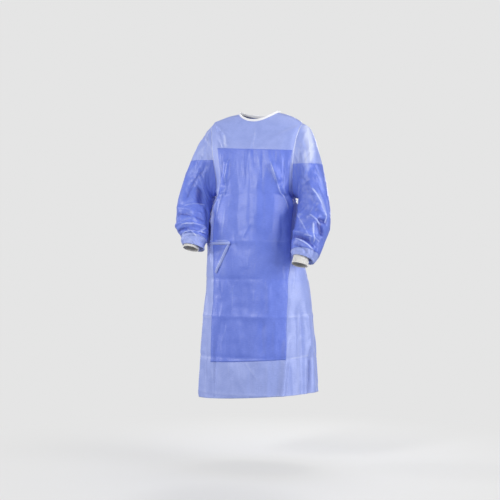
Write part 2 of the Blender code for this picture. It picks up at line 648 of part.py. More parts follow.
def build_belt(material, collection):
    stations = belt_stations()

    def place_of(column, row):
        read = stations[column]
        middle = read(float(BELT_ROW))
        beyond = read(float(BELT_ROW - 1 + 2 * row))
        return middle + (beyond - middle).normalized() * (BELT_WIDTH / 2.0)

    mesh = grid_mesh("belt", len(stations) - 1, 1, place_of)
    return add_shell("belt", mesh, CLOTH_WALL, material, collection)


def knot_frame():
    """The belt's front end at its middle, and the directions out from the cloth and along the belt."""
    place = float(BELT_ROW)
    share = front_share(FRONT_SIDE_STEPS + KNOT_PANEL_COLUMN, place)
    end = torso_point("front", share, place)
    outward = torso_normal("front", share, place)
    along = (torso_point("front", share + 0.01, place) - end).normalized()
    return share * SEAM_TURN, end, outward, along


def squared(value):
    return math.copysign(abs(value) ** KNOT_SQUARE, value)


def build_knot(material, collection):
    _, end, outward, along = knot_frame()
    centre = end + outward * KNOT_STAND + along * (KNOT_SIZE[0] + SEAM_GAP)
    made = bmesh.new()
    bmesh.ops.create_uvsphere(made, u_segments=16, v_segments=8, radius=1.0)
    for corner in made.verts:
        wide, deep, high = (squared(value) * size for value, size in zip(corner.co, KNOT_SIZE))
        corner.co = centre + along * wide - outward * deep + Vector((0.0, 0.0, high))
    mesh = bpy.data.meshes.new("belt_knot")
    made.to_mesh(mesh)
    made.free()
    mesh.materials.append(material)
    mesh.shade_smooth()
    knot = bpy.data.objects.new("belt_knot", mesh)
    collection.objects.link(knot)
    return knot


def build_belt_end(material, collection):
    start_turn, end, _, _ = knot_frame()
    start_z = end.z - KNOT_SIZE[2] - SEAM_GAP
    top = round_body(start_turn, row_of_height(start_turn, start_z))
    low = round_body(BELT_END_TURN, row_of_height(BELT_END_TURN, BELT_END_Z))
    leaning = math.atan2(top.x - low.x, top.z - low.z)
    per_degree = (low - top).length / abs(BELT_END_TURN - start_turn) * math.sin(leaning)

    def place_of(column, row):
        share = row / BELT_END_STEPS
        across = BELT_END_WIDTH * (column - 0.5)
        turn = start_turn + (BELT_END_TURN - start_turn) * share + across * math.cos(leaning) / per_degree
        z = start_z + (BELT_END_Z - start_z) * share - across * math.sin(leaning)
        return round_body(turn, row_of_height(turn, z), BELT_END_STAND)

    mesh = grid_mesh("belt_end", 1, BELT_END_STEPS, place_of)
    return add_shell("belt_end", mesh, CLOTH_WALL, material, collection)


def main():
    clear_scene()
    gown = bpy.data.collections.new("surgical_gown")
    bpy.context.scene.collection.children.link(gown)
    build_front(cloth_material("front_cloth", BASE_BLUE), gown)
    build_back("back_left", 1.0, cloth_material("back_left_cloth", BASE_BLUE), gown)
    build_back("back_right", -1.0, cloth_material("back_right_cloth", BASE_BLUE), gown)
    build_front_reinforcement(cloth_material("front_reinforcement_cloth", PANEL_BLUE), gown)
    for side_name in SIDES:
        build_sleeve(side_name, cloth_material("sleeve_cloth_" + side_name, BASE_BLUE), gown)
        sheet = cloth_material("sleeve_reinforcement_cloth_" + side_name, PANEL_BLUE)
        build_sleeve_reinforcement(side_name, sheet, gown)
        build_cuff(side_name, cloth_material("cuff_knit_" + side_name, KNIT_WHITE), gown)
    build_binding(cloth_material("binding_tape", BINDING_WHITE), gown)
    build_tab(cloth_material("tab_tape", BINDING_WHITE), gown)
    build_belt(cloth_material("belt_cloth", BASE_BLUE), gown)
    build_knot(cloth_material("belt_knot_cloth", BASE_BLUE), gown)
    build_belt_end(cloth_material("belt_end_cloth", BASE_BLUE), gown)


main()
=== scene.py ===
import math

import bmesh
import bpy
import numpy as np
from mathutils import Matrix, Vector


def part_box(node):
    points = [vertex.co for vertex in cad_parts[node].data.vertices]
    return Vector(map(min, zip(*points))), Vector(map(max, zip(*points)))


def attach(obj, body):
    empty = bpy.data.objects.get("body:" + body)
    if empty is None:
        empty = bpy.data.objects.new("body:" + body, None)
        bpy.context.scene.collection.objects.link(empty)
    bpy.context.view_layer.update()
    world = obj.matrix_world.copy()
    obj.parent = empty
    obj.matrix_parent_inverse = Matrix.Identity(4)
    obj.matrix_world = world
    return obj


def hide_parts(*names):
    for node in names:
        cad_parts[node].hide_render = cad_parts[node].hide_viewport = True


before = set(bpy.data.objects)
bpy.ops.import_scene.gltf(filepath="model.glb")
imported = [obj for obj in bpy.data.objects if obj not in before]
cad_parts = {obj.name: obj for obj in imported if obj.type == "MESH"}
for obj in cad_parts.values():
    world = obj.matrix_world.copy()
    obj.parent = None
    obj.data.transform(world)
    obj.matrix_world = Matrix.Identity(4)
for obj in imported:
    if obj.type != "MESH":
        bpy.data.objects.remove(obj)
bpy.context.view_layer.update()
print("gown: frame loaded")

# the worn form, one row for each level from the neck to the hem
gownForm = {
    "columns": "shift wide edgeZ frontEdge backEdge frontMid backMid frontZ backZ turn tilt "
               "panelLeft panelRight flap",
    "rows": (
        (0, 0.087, -0.002, 0.022, 0.022, -0.048, 0.09, -0.04, -0.014, 90, 0, -0.6, 0.62, 0.05),
        (0, 0.118, -0.009, 0.019, 0.019, -0.062, 0.098, -0.064, -0.036, 90, -0.01, -0.63, 0.7, 0.06),
        (0, 0.155, -0.022, 0.012, 0.012, -0.075, 0.105, -0.088, -0.06, 90, -0.02, -0.66, 0.78, 0.068),
        (0, 0.19, -0.042, 0.004, 0.004, -0.086, 0.11, -0.108, -0.084, 90, -0.035, -0.68, 0.84, 0.074),
        (0, 0.193, -0.066, -0.034, 0.034, -0.094, 0.113, -0.124, -0.106, 80, -0.04, -0.69, 0.88, 0.079),
        (0, 0.185, -0.11, -0.055, 0.056, -0.102, 0.115, -0.141, -0.132, 74, -0.045, -0.7, 0.91, 0.083),
        (0, 0.179, -0.158, -0.066, 0.069, -0.108, 0.117, -0.16, -0.16, 72, -0.05, -0.71, 0.923, 0.086),
        (0, 0.173, -0.215, -0.066, 0.073, -0.118, 0.118, -0.215, -0.215, 72, -0.045, -0.68, 0.9, 0.088),
        (0, 0.167, -0.28, -0.053, 0.06, -0.126, 0.116, -0.28, -0.28, 76, -0.035, -0.645, 0.88, 0.09),
        (-0.006, 0.168, -0.33, -0.03, 0.034, -0.131, 0.113, -0.33, -0.33, 82, -0.028, -0.62, 0.865, 0.092),
        (-0.008, 0.169, -0.352, 0, 0, -0.133, 0.111, -0.352, -0.352, 90, -0.02, -0.61, 0.86, 0.093),
        (-0.014, 0.183, -0.4, 0, 0, -0.138, 0.107, -0.4, -0.4, 90, -0.01, -0.575, 0.85, 0.096),
        (-0.022, 0.189, -0.47, -0.003, -0.003, -0.142, 0.104, -0.47, -0.47, 90, 0, -0.505, 0.82, 0.1),
        (-0.022, 0.195, -0.545, -0.003, -0.003, -0.146, 0.106, -0.545, -0.545, 90, 0.005, -0.496, 0.77, 0.104),
        (-0.013, 0.208, -0.625, -0.002, -0.002, -0.15, 0.118, -0.625, -0.625, 90, 0.012, -0.492, 0.66, 0.11),
        (-0.005, 0.219, -0.7, 0, 0, -0.152, 0.13, -0.7, -0.7, 90, 0.02, -0.49, 0.56, 0.115),
        (0, 0.226, -0.775, 0, 0, -0.154, 0.14, -0.775, -0.775, 90, 0.03, -0.489, 0.52, 0.12),
        (0, 0.234, -0.855, 0, 0, -0.157, 0.148, -0.855, -0.855, 90, 0.04, -0.488, 0.49, 0.125),
        (0, 0.241, -0.94, 0, 0, -0.16, 0.156, -0.94, -0.94, 90, 0.05, -0.478, 0.472, 0.13),
        (0, 0.246, -1.025, 0, 0, -0.164, 0.162, -1.025, -1.025, 90, 0.058, -0.468, 0.456, 0.135),
        (0, 0.25, -1.1, 0, 0, -0.167, 0.167, -1.1, -1.1, 90, 0.062, -0.464, 0.45, 0.139),
        (0, 0.254, -1.172, 0, 0, -0.17, 0.17, -1.172, -1.172, 90, 0.066, -0.46, 0.445, 0.143),
    ),
    "tipRow": 3,
    "panelTopRow": 6,
    "underRow": 10,
    "panelBottomRow": 19,
    "hemRow": 21,
    "rowStep": 0.0052,  # height of a cloth cell
    "seamFade": 7.0,  # degrees over which folds die out at a seam
}

# every fold row: where it is across and down the cloth at both ends, then its width and height in
# millimetres. A round fold is soft, a sharp one comes to an edge that gets a painted highlight line where it
# is raised, and a crease is a sharp one with no painted line. A row of painted highlight lifts nothing: its
# last value is how much painted highlight it lays on the cloth
def foldTable(**kinds):
    return tuple((*row[:4], row[4] * 0.001, row[5] * (1.0 if kind == "pale" else 0.001), kind)
                 for kind, rows in kinds.items() for row in rows)


# the main folds of the body, in degrees across and metres down
bodyFolds = {
    "front": foldTable(
        round=(
            (39, -0.213, 58, -0.302, 14, 9), (58, -0.302, 78, -0.405, 14, 8),
            (-38, -0.197, -45, -0.311, 14, 8), (-45, -0.311, -50, -0.43, 15, 8),
            (-70, -0.045, -44, -0.15, 12, 6), (2, -0.09, 3, -0.2, 10, 3), (60, -0.42, 50, -0.58, 24, -4),
            (-62, -0.45, -66, -0.62, 22, -8), (63, -0.76, 62, -1.169, 30, -12),
            (44, -0.9, 37, -1.169, 18, 10), (79, -0.96, 75, -1.169, 22, -11), (-62, -0.7, -66, -1.169, 24, 9),
            (-8, -0.64, -4, -1.1, 50, -7), (-32, -0.86, -36, -1.169, 24, -8),
        ),
    ),
    "back": foldTable(
        round=(
            (52, -0.18, 44, -0.52, 20, 9), (-50, -0.17, -46, -0.5, 20, 9), (66, -0.43, 58, -0.64, 20, -8),
            (-62, -0.43, -60, -0.64, 20, -8), (44, -0.66, 50, -1.169, 34, 13),
            (68, -0.74, 70, -1.169, 30, -11), (12, -0.7, 16, -1.169, 32, 10),
            (-54, -0.68, -50, -1.169, 34, 12), (-73, -0.78, -72, -1.169, 30, -10),
        ),
    ),
    "hemZ": -1.165,  # a fold that reaches this low stays open at the hem
    "endFade": 0.22,
}

# where the gown was folded for its pack, and the hem's line
packingFolds = foldTable(
    crease=[(-130, z, 130, z, 9, lift)
            for z, lift in ((-0.5365, 2.4), (-0.691, -2.2), (-0.845, 2.6), (-1.0115, -2.2))],
    sharp=[(-130, -1.16, 130, -1.16, 4, 1.4)],
)

# settings of the painted highlight lines along raised edges and seams, and of the painted shade in hollows
creaseSettings = {
    "fullHeight": 0.0045,  # height of an edge whose painted highlight line is at full strength
    "strongest": 1.3,
    "fullDepth": 0.0050,
    "leastDepth": 0.0030,  # hollows up to this deep get no painted shade
    "hollowShare": 0.8,
    "reach": 0.009,
    "seamWhite": 1.7,
    "sideSeamWhite": 0.35,
    "sleeveSeamWhite": 1.0,
    "seamSpread": 0.50,
    "seamWidth": 0.0075,
    "raisedShare": 0.62,  # share of the strewn creases that stand up
}


def smooth(value):
    held = np.clip(value, 0.0, 1.0)
    return held * held * (3.0 - 2.0 * held)


def readRows(form, place):
    rows = np.asarray(form["rows"], float)
    last = len(rows) - 1
    place = np.asarray(place, float)
    low = np.clip(np.floor(place), 0, last - 1).astype(int)
    share = (place - low)[..., None]
    before, start, end, after = (rows[np.clip(low + step, 0, last)] for step in (-1, 0, 1, 2))
    values = 0.5 * (2 * start + (end - before) * share + (2 * before - 5 * start + 4 * end - after) * share**2
                    + (3 * start - before - 3 * end + after) * share**3)
    return dict(zip(form["columns"].split(), np.moveaxis(values, -1, 0)))


def torsoBase(face, share, place):
    row = readRows(gownForm, place)
    turn = np.radians(row["turn"])
    angle = share * turn
    inward = (np.cos(angle) - np.cos(turn)) / (1.0 - np.cos(turn))
    x = row["shift"] + row["wide"] * np.sin(angle) / np.sin(turn)
    edgeY = row[face + "Edge"]
    y = edgeY + (row[face + "Mid"] - edgeY) * inward
    z = row["edgeZ"] + (row[face + "Z"] - row["edgeZ"]) * inward**2 + row["tilt"] * x
    return np.stack((x, y, z), -1)


def unit(vectors):
    return vectors / np.maximum(np.linalg.norm(vectors, axis=-1, keepdims=True), 1e-9)


def torsoNormal(face, share, place):
    step = 0.01
    across = torsoBase(face, share + step, place) - torsoBase(face, share - step, place)
    down = torsoBase(face, share, np.minimum(place + step, gownForm["hemRow"])) \
        - torsoBase(face, share, np.maximum(place - step, 0.0))
    normal = unit(np.cross(down, across))
    return -normal if face == "back" else normal


# the points near one fold: which they are, how far off its line, on which side and how far along it
def nearFold(fold, across, down, perAcross, perDown, endFade, openBelow):
    acrossA, downA, acrossB, downB, width = fold[:5]
    lineX, lineY = (acrossB - acrossA) * perAcross, (downB - downA) * perDown
    hereX, hereY = (across - acrossA) * perAcross, (down - downA) * perDown
    reach = 5.0 * width
    near = (hereX > np.minimum(lineX, 0.0) - reach) & (hereX < np.maximum(lineX, 0.0) + reach) \
        & (hereY > np.minimum(lineY, 0.0) - reach) & (hereY < np.maximum(lineY, 0.0) + reach)
    lineX, lineY = (line[near] if np.ndim(line) else line for line in (lineX, lineY))
    hereX, hereY = hereX[near], hereY[near]
    length2 = lineX**2 + lineY**2
    share = (hereX * lineX + hereY * lineY) / length2
    held = np.clip(share, 0.0, 1.0)
    far = np.hypot(hereX - lineX * held, hereY - lineY * held)
    side = np.where(hereX * lineY - hereY * lineX > 0.0, 1.0, -1.0)
    opened = openBelow is not None and downB < openBelow
    ends = smooth(share / endFade) * (1.0 if opened else smooth((1.0 - share) / endFade))
    return near, far, side, ends


# how high the folds lift each point, given by two lengths on the cloth
def foldLift(folds, across, down, perAcross, perDown, endFade, openBelow=None):
    total = np.zeros_like(across * 1.0)
    for fold in folds:
        width, height, kind = fold[4:]
        if kind == "pale":
            continue
        near, far, _, ends = nearFold(fold, across, down, perAcross, perDown, endFade, openBelow)
        shape = np.exp(-((far / width) ** 2)) if kind == "round" else np.exp(-far / width)
        total[near] += height * ends * shape
    return total


# the light and shade that the folds paint on the cloth: a value above 0 for painted highlight and below 0 for
# painted shade in hollows. A painted highlight line on a raised edge is told by its signed distance and its
# strength, which draws it sharper than the cells are
def foldPaintedLight(folds, across, down, perAcross, perDown, endFade, openBelow=None):
    pale, deep, strength = (np.zeros_like(across * 1.0) for _ in range(3))
    reach = creaseSettings["reach"]
    distance = np.full_like(across * 1.0, reach)
    for fold in folds:
        width, height, kind = fold[4:]
        if kind == "crease" or (kind == "round" and height > 0.0):
            continue
        near, far, side, ends = nearFold(fold, across, down, perAcross, perDown, endFade, openBelow)
        # painted highlight
        if kind == "pale":
            pale[near] = np.maximum(pale[near], height * ends * np.exp(-((far / width) ** 2)))
        # painted shade in the hollow of a sunken fold
        elif height < 0.0:
            depth = min(1.0, max(0.0, -height - creaseSettings["leastDepth"]) / creaseSettings["fullDepth"])
            wide = width * creaseSettings["hollowShare"]
            deep[near] = np.maximum(deep[near], depth * ends * np.exp(-((far / wide) ** 2)))
        # a painted highlight line along a raised sharp edge
        else:
            white = min(creaseSettings["strongest"], height / creaseSettings["fullHeight"]) ** 2
            found = white * ends * np.exp(-((far / reach) ** 2))
            nearer = found > strength[near]
            strength[near] = np.where(nearer, found, strength[near])
            distance[near] = np.where(nearer, far * side, distance[near])
    return {"tint": pale - deep, "lineFar": distance, "lineWhite": strength}


# small creases strewn over a piece, most of them along the given heading
def strewnCreases(settings, seed=None):
    rng = np.random.default_rng(settings["seed"] if seed is None else seed)
    rows = []
    for _ in range(settings["count"]):
        middle = rng.uniform(*settings["across"]), rng.uniform(*settings["down"])
        heading = settings["heading"] + rng.normal(0.0, settings["spread"])
        half = rng.uniform(*settings["length"]) / 2.0
        stepX = math.sin(heading) * half / settings["perAcross"]
        stepY = math.cos(heading) * half / settings["perDown"]
        height = rng.uniform(*settings["height"])
        height *= 1.0 if rng.random() < creaseSettings["raisedShare"] else -1.0
        rows.append((middle[0] - stepX, middle[1] - stepY, middle[0] + stepX, middle[1] + stepY,
                     settings["width"], height, "sharp" if height > 0.0 else "crease"))
    return tuple(rows)


bodyStrewn = {"heading": 0.0, "width": 0.0052, "perAcross": 0.0035, "perDown": 1.0}


def triangleWave(value):
    return 4.0 * np.abs(value - np.floor(value + 0.5)) - 1.0


# shallow flat facets such as stiff cloth shows once it was packed and crushed
def crumple(across, down, settings, seed):
    rng = np.random.default_rng(seed)
    total = np.zeros_like(across * 1.0)
    for _ in range(settings["layers"]):
        heading = rng.uniform(0.0, math.pi)
        pitch = settings["pitch"] * rng.uniform(0.7, 1.6)
        along = (across * math.cos(heading) + down * math.sin(heading)) / pitch
        beside = (-across * math.sin(heading) + down * math.cos(heading)) / pitch
        slow, quick, third = (rng.uniform(0, 6.3) for _ in range(3))
        bend = 0.35 * np.sin(beside * 2.1 + slow) + 0.2 * np.sin(beside * 4.7 + quick)
        fade = 0.5 + 0.5 * np.sin(beside * 1.3 + along * 0.8 + third)
        total += triangleWave(along + bend + rng.uniform()) * fade * rng.uniform(0.5, 1.0)
    return settings["height"] * total / settings["layers"] ** 0.5


bodyCrumple = {"layers": 7, "pitch": 0.075, "height": 0.0013, "front": 11, "back": 12}


# where a point of the body is on the cloth, as the fold rows tell it: degrees, height and metres in a degree
def torsoSpot(face, share, place):
    point = torsoBase(face, share, place)
    return point, share * 90.0, readRows(gownForm, place)["wide"] * math.pi / 180.0


def torsoPoint(face, share, place, offset=0.0, folds=()):
    point, turn, perDegree = torsoSpot(face, share, place)
    endings = bodyFolds["endFade"], bodyFolds["hemZ"]
    height, fine = (foldLift(rows, turn, point[..., 2], perDegree, 1.0, *endings)
                    for rows in (bodyFolds[face], folds))
    fade = smooth((90.0 - np.abs(turn)) / gownForm["seamFade"])
    fine = fine + crumple(turn * perDegree, point[..., 2], bodyCrumple, bodyCrumple[face])
    return point + torsoNormal(face, share, place) * ((height + fine) * fade + offset)[..., None]


def torsoPaintedLight(face, share, place, folds):
    point, turn, perDegree = torsoSpot(face, share, place)
    tint = foldPaintedLight(folds, turn, point[..., 2], perDegree, 1.0, bodyFolds["endFade"], bodyFolds["hemZ"])
    # a painted highlight line along the seams: strong round the armholes, faint on the side seams below them
    edge = (90.0 - np.abs(turn)) * perDegree
    onSeam = (edge < creaseSettings["seamWidth"]) & (place > gownForm["tipRow"] - 0.5)
    tint["lineFar"] = np.where(onSeam, edge * creaseSettings["seamSpread"], tint["lineFar"])
    seamWhite, sideSeamWhite = creaseSettings["seamWhite"], creaseSettings["sideSeamWhite"]
    white = np.where(place < gownForm["underRow"], seamWhite, sideSeamWhite)
    tint["lineWhite"] = np.where(onSeam, white, tint["lineWhite"])
    return tint


# a grid of cells: placeOf gives each corner's point, its place on the flat cloth and the light and shade
# painted on it, if it has any
def gridShape(name, across, down, placeOf, closed=False, flip=False):
    made = bmesh.new()
    flatMap = made.loops.layers.uv.new("flat")
    layers = {key: made.verts.layers.float.new(key) for key in ("tint", "lineFar", "lineWhite")}
    bmesh.ops.create_grid(made, x_segments=across, y_segments=down, size=1.0)
    mesh = bpy.data.meshes.new(name)
    corners = np.array([corner.co for corner in made.verts])
    u = np.round((corners[:, 0] + 1.0) / 2.0 * across) / across
    v = np.round((1.0 - corners[:, 1]) / 2.0 * down) / down
    points, flatU, flatV, *tint = placeOf(u, v)
    flats = np.stack((flatU, flatV), -1)
    for corner, point in zip(made.verts, points):
        corner.co = point
    for key, values in (tint[0] if tint else {}).items():
        for corner, value in zip(made.verts, values):
            corner[layers[key]] = float(value)
    for face in made.faces:
        for loop in face.loops:
            loop[flatMap].uv = flats[loop.vert.index]
    if flip:
        bmesh.ops.reverse_faces(made, faces=made.faces)
    if closed:
        bmesh.ops.remove_doubles(made, verts=made.verts, dist=1e-5)
    made.normal_update()
    made.to_mesh(mesh)
    made.free()
    return mesh


def addPiece(name, mesh, material, node, wall=None):
    mesh.materials.append(material)
    mesh.shade_smooth()
    piece = bpy.data.objects.new(name, mesh)
    bpy.context.scene.collection.objects.link(piece)
    if wall:
        walled = piece.modifiers.new("Wall", "SOLIDIFY")
        walled.thickness = wall
        walled.offset = 0.0
    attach(piece, "root")
    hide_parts(node)
    area = sum(face.area for face in mesh.polygons)
    print(f"gown: {name}, {len(mesh.polygons)} faces, {area:.3f} square metres")
    return piece


def feedSocket(tree, socket, value):
    if isinstance(value, Value):
        tree.links.new(value.socket, socket)
    else:
        socket.default_value = value


def addNode(tree, kind, settings=None, inputs=None, output=0):
    made = tree.nodes.new(kind)
    for key, value in (settings or {}).items():
        setattr(made, key, value)
    for key, value in (inputs or {}).items():
        feedSocket(tree, made.inputs[key], value)
    return Value(tree, made.outputs[output])


# an output socket that takes part in sums and products
class Value:
    def __init__(self, tree, socket):
        self.tree = tree
        self.socket = socket

    def math(self, operation, other):
        return addNode(self.tree, "ShaderNodeMath", {"operation": operation}, {0: self, 1: other})

    def __add__(self, other):
        return self.math("ADD", other)

    def __mul__(self, other):
        return self.math("MULTIPLY", other)

    def __rsub__(self, other):
        return self.math("MULTIPLY", -1.0).math("ADD", other)

    __radd__ = __add__
    __rmul__ = __mul__


class Finish:
    def __init__(self, name):
        self.material = bpy.data.materials.new(name)
        self.material.use_nodes = True
        self.tree = self.material.node_tree
        self.shader = self.tree.nodes["Principled BSDF"]

    def node(self, kind, settings=None, inputs=None, output=0):
        return addNode(self.tree, kind, settings, inputs, output)

    def noise(self, place, scale=1.0, **inputs):
        return self.node("ShaderNodeTexNoise", None, {"Vector": place, "Scale": scale, **inputs})

    def cells(self, pitch, randomness, **settings):
        place = self.flatPlace((1.0 / pitch, 1.0 / pitch, 1.0))
        return self.node("ShaderNodeTexVoronoi", {"feature": "F1", **settings},
                         {"Vector": place, "Scale": 1.0, "Randomness": randomness})

    def flatPlace(self, scale=(1.0, 1.0, 1.0)):
        place = self.node("ShaderNodeUVMap", {"uv_map": "flat"})
        return self.node("ShaderNodeMapping", None, {"Vector": place, "Scale": scale})

    def ramp(self, factor, low, high):
        return self.node("ShaderNodeMapRange", {"interpolation_type": "SMOOTHSTEP"},
                         {"Value": factor, "From Min": low, "From Max": high})

    # sockets 6 and 7 are the colours of a Mix node, and output 2 is their mix
    def colourMix(self, factor, first, second):
        return self.node("ShaderNodeMix", {"data_type": "RGBA"}, {0: factor, 6: first, 7: second}, output=2)

    def feed(self, name, value):
        feedSocket(self.tree, self.shader.inputs[name], value)

    def bump(self, strength, relief):
        self.feed("Normal", self.node("ShaderNodeBump", None,
                                      {"Strength": strength, "Distance": 1.0, "Height": relief}))


# dark and light are the cloth's own mottled tone; white is the colour of painted highlights, deep of painted
# shade, and line of the painted highlight lines along raised edges and seams
clothLooks = {
    "base": {"dark": (0.265, 0.335, 0.720, 1), "light": (0.345, 0.420, 0.830, 1),
             "white": (0.640, 0.700, 0.950, 1), "deep": (0.170, 0.215, 0.520, 1),
             "line": (0.720, 0.775, 0.980, 1), "roughness": 0.44, "bump": 0.34},
    "reinforced": {"dark": (0.120, 0.184, 0.660, 1), "light": (0.175, 0.250, 0.790, 1),
                   "white": (0.480, 0.560, 0.915, 1), "deep": (0.045, 0.070, 0.380, 1),
                   "line": (0.470, 0.550, 0.940, 1), "roughness": 0.40, "bump": 0.40},
    "lineCore": 0.0003,
    "lineEdge": 0.0042,
    "roughSpread": 0.14,
    "cloudScale": 20.0,
    "fibreScale": (70.0, 320.0, 1.0),
    "bondPitch": 0.0016,
    "bondDepth": 0.00012,
    "crinkleScale": (120.0, 34.0, 1.0),
    "crinkleDepth": 0.0008,
    "buckleScale": (34.0, 10.0, 1.0),
    "buckleDepth": 0.0034,
}


# bonded nonwoven: cloudy fibres, a fine grid of bond points, small crinkles, and painted highlight lines along
# raised edges and seams, with painted highlights and painted shade laid in from the folds
def clothFinish(name, look):
    finish = Finish(name)
    cloud = finish.noise(finish.flatPlace(), clothLooks["cloudScale"], Detail=6.0)
    fibres = finish.noise(finish.flatPlace(clothLooks["fibreScale"]), Detail=4.0)
    shade = finish.ramp(cloud * 0.45 + fibres * 0.55, 0.28, 0.72)
    dots = finish.ramp(finish.cells(clothLooks["bondPitch"], 0.15), 0.18, 0.42)
    colour = finish.colourMix(shade * 0.85 + dots * 0.15, look["dark"], look["light"])
    tint, lineFar, lineWhite = (finish.node("ShaderNodeAttribute", {"attribute_name": key}, None, output=2)
                                for key in ("tint", "lineFar", "lineWhite"))
    # the painted highlight line along raised edges and seams, broken up by the fibres and clouds
    line = 1.0 - finish.ramp(lineFar * lineFar, clothLooks["lineCore"] ** 2, clothLooks["lineEdge"] ** 2)
    broken = finish.ramp(fibres, 0.25, 0.6) * 0.4 + finish.ramp(cloud, 0.38, 0.60) * 0.6
    # painted highlight where the value is above 0, painted shade in hollows where it is below 0
    colour = finish.colourMix(finish.ramp(tint, 0.0, 1.0), colour, look["white"])
    colour = finish.colourMix(finish.ramp(tint * -1.0, 0.0, 1.0), colour, look["deep"])
    finish.feed("Base Color", finish.colourMix(line * lineWhite * broken, colour, look["line"]))
    spread = clothLooks["roughSpread"]
    finish.feed("Roughness", finish.ramp(cloud, 0.2, 0.8) * spread + (look["roughness"] - spread / 2.0))
    finish.feed("Sheen Weight", 0.08)
    finish.feed("Sheen Roughness", 0.4)
    crinkles = finish.noise(finish.flatPlace(clothLooks["crinkleScale"]), Detail=3.0, Distortion=0.6)
    buckles = finish.noise(finish.flatPlace(clothLooks["buckleScale"]), Detail=2.0, Distortion=1.2)
    finish.bump(look["bump"], crinkles * clothLooks["crinkleDepth"] + buckles * clothLooks["buckleDepth"]
                + dots * clothLooks["bondDepth"])
    return finish.material


baseCloth = clothFinish("base_nonwoven", clothLooks["base"])
reinforcedCloth = clothFinish("reinforced_nonwoven", clothLooks["reinforced"])

knitLook = {
    "dark": (0.60, 0.59, 0.57, 1),
    "light": (0.86, 0.85, 0.83, 1),
    "stitchPitch": 0.0016,
    "fuzzScale": (900.0, 900.0, 1.0),
    "depth": 0.0005,
}


def knitFinish(name):
    finish = Finish(name)
    stitches = finish.ramp(finish.cells(knitLook["stitchPitch"], 0.3), 0.65, 0.1)
    fuzz = finish.noise(finish.flatPlace(knitLook["fuzzScale"]))
    shade = stitches * 0.7 + fuzz * 0.3
    finish.feed("Base Color", finish.colourMix(shade, knitLook["dark"], knitLook["light"]))
    finish.feed("Roughness", 0.9)
    finish.feed("Sheen Weight", 0.3)
    finish.bump(0.5, stitches * knitLook["depth"])
    return finish.material


knitCloth = knitFinish("cuff_knit")

tapeLook = {
    "dark": (0.78, 0.78, 0.82, 1),
    "light": (0.93, 0.93, 0.96, 1),
    "threadPitch": 0.0009,
    "cloudScale": (40.0, 40.0, 1.0),
    "depth": 0.0002,
}


def tapeFinish(name):
    finish = Finish(name)
    cloud = finish.noise(finish.flatPlace(tapeLook["cloudScale"]))
    threads = finish.ramp(finish.cells(tapeLook["threadPitch"], 0.0, distance="CHEBYCHEV"), 0.5, 0.2)
    shade = threads * 0.6 + cloud * 0.4
    finish.feed("Base Color", finish.colourMix(shade, tapeLook["dark"], tapeLook["light"]))
    finish.feed("Roughness", finish.ramp(cloud, 0.2, 0.8) * 0.2 + 0.6)
    finish.bump(0.4, threads * tapeLook["depth"])
    return finish.material


tapeCloth = tapeFinish("binding_tape")
print("gown: finishes ready")


# row places with about one cloth cell between them
def rowPlaces(first, last):
    places = [float(first)]
    for row in range(first, last):
        ends = [torsoBase("front", share, np.array([row, row + 1.0])) for share in (0.0, 0.9)]
        length = max(np.linalg.norm(pair[1] - pair[0]) for pair in ends)
        steps = max(2, round(length / gownForm["rowStep"]))
        places += [row + step / steps for step in range(1, steps + 1)]
    return np.array(places)


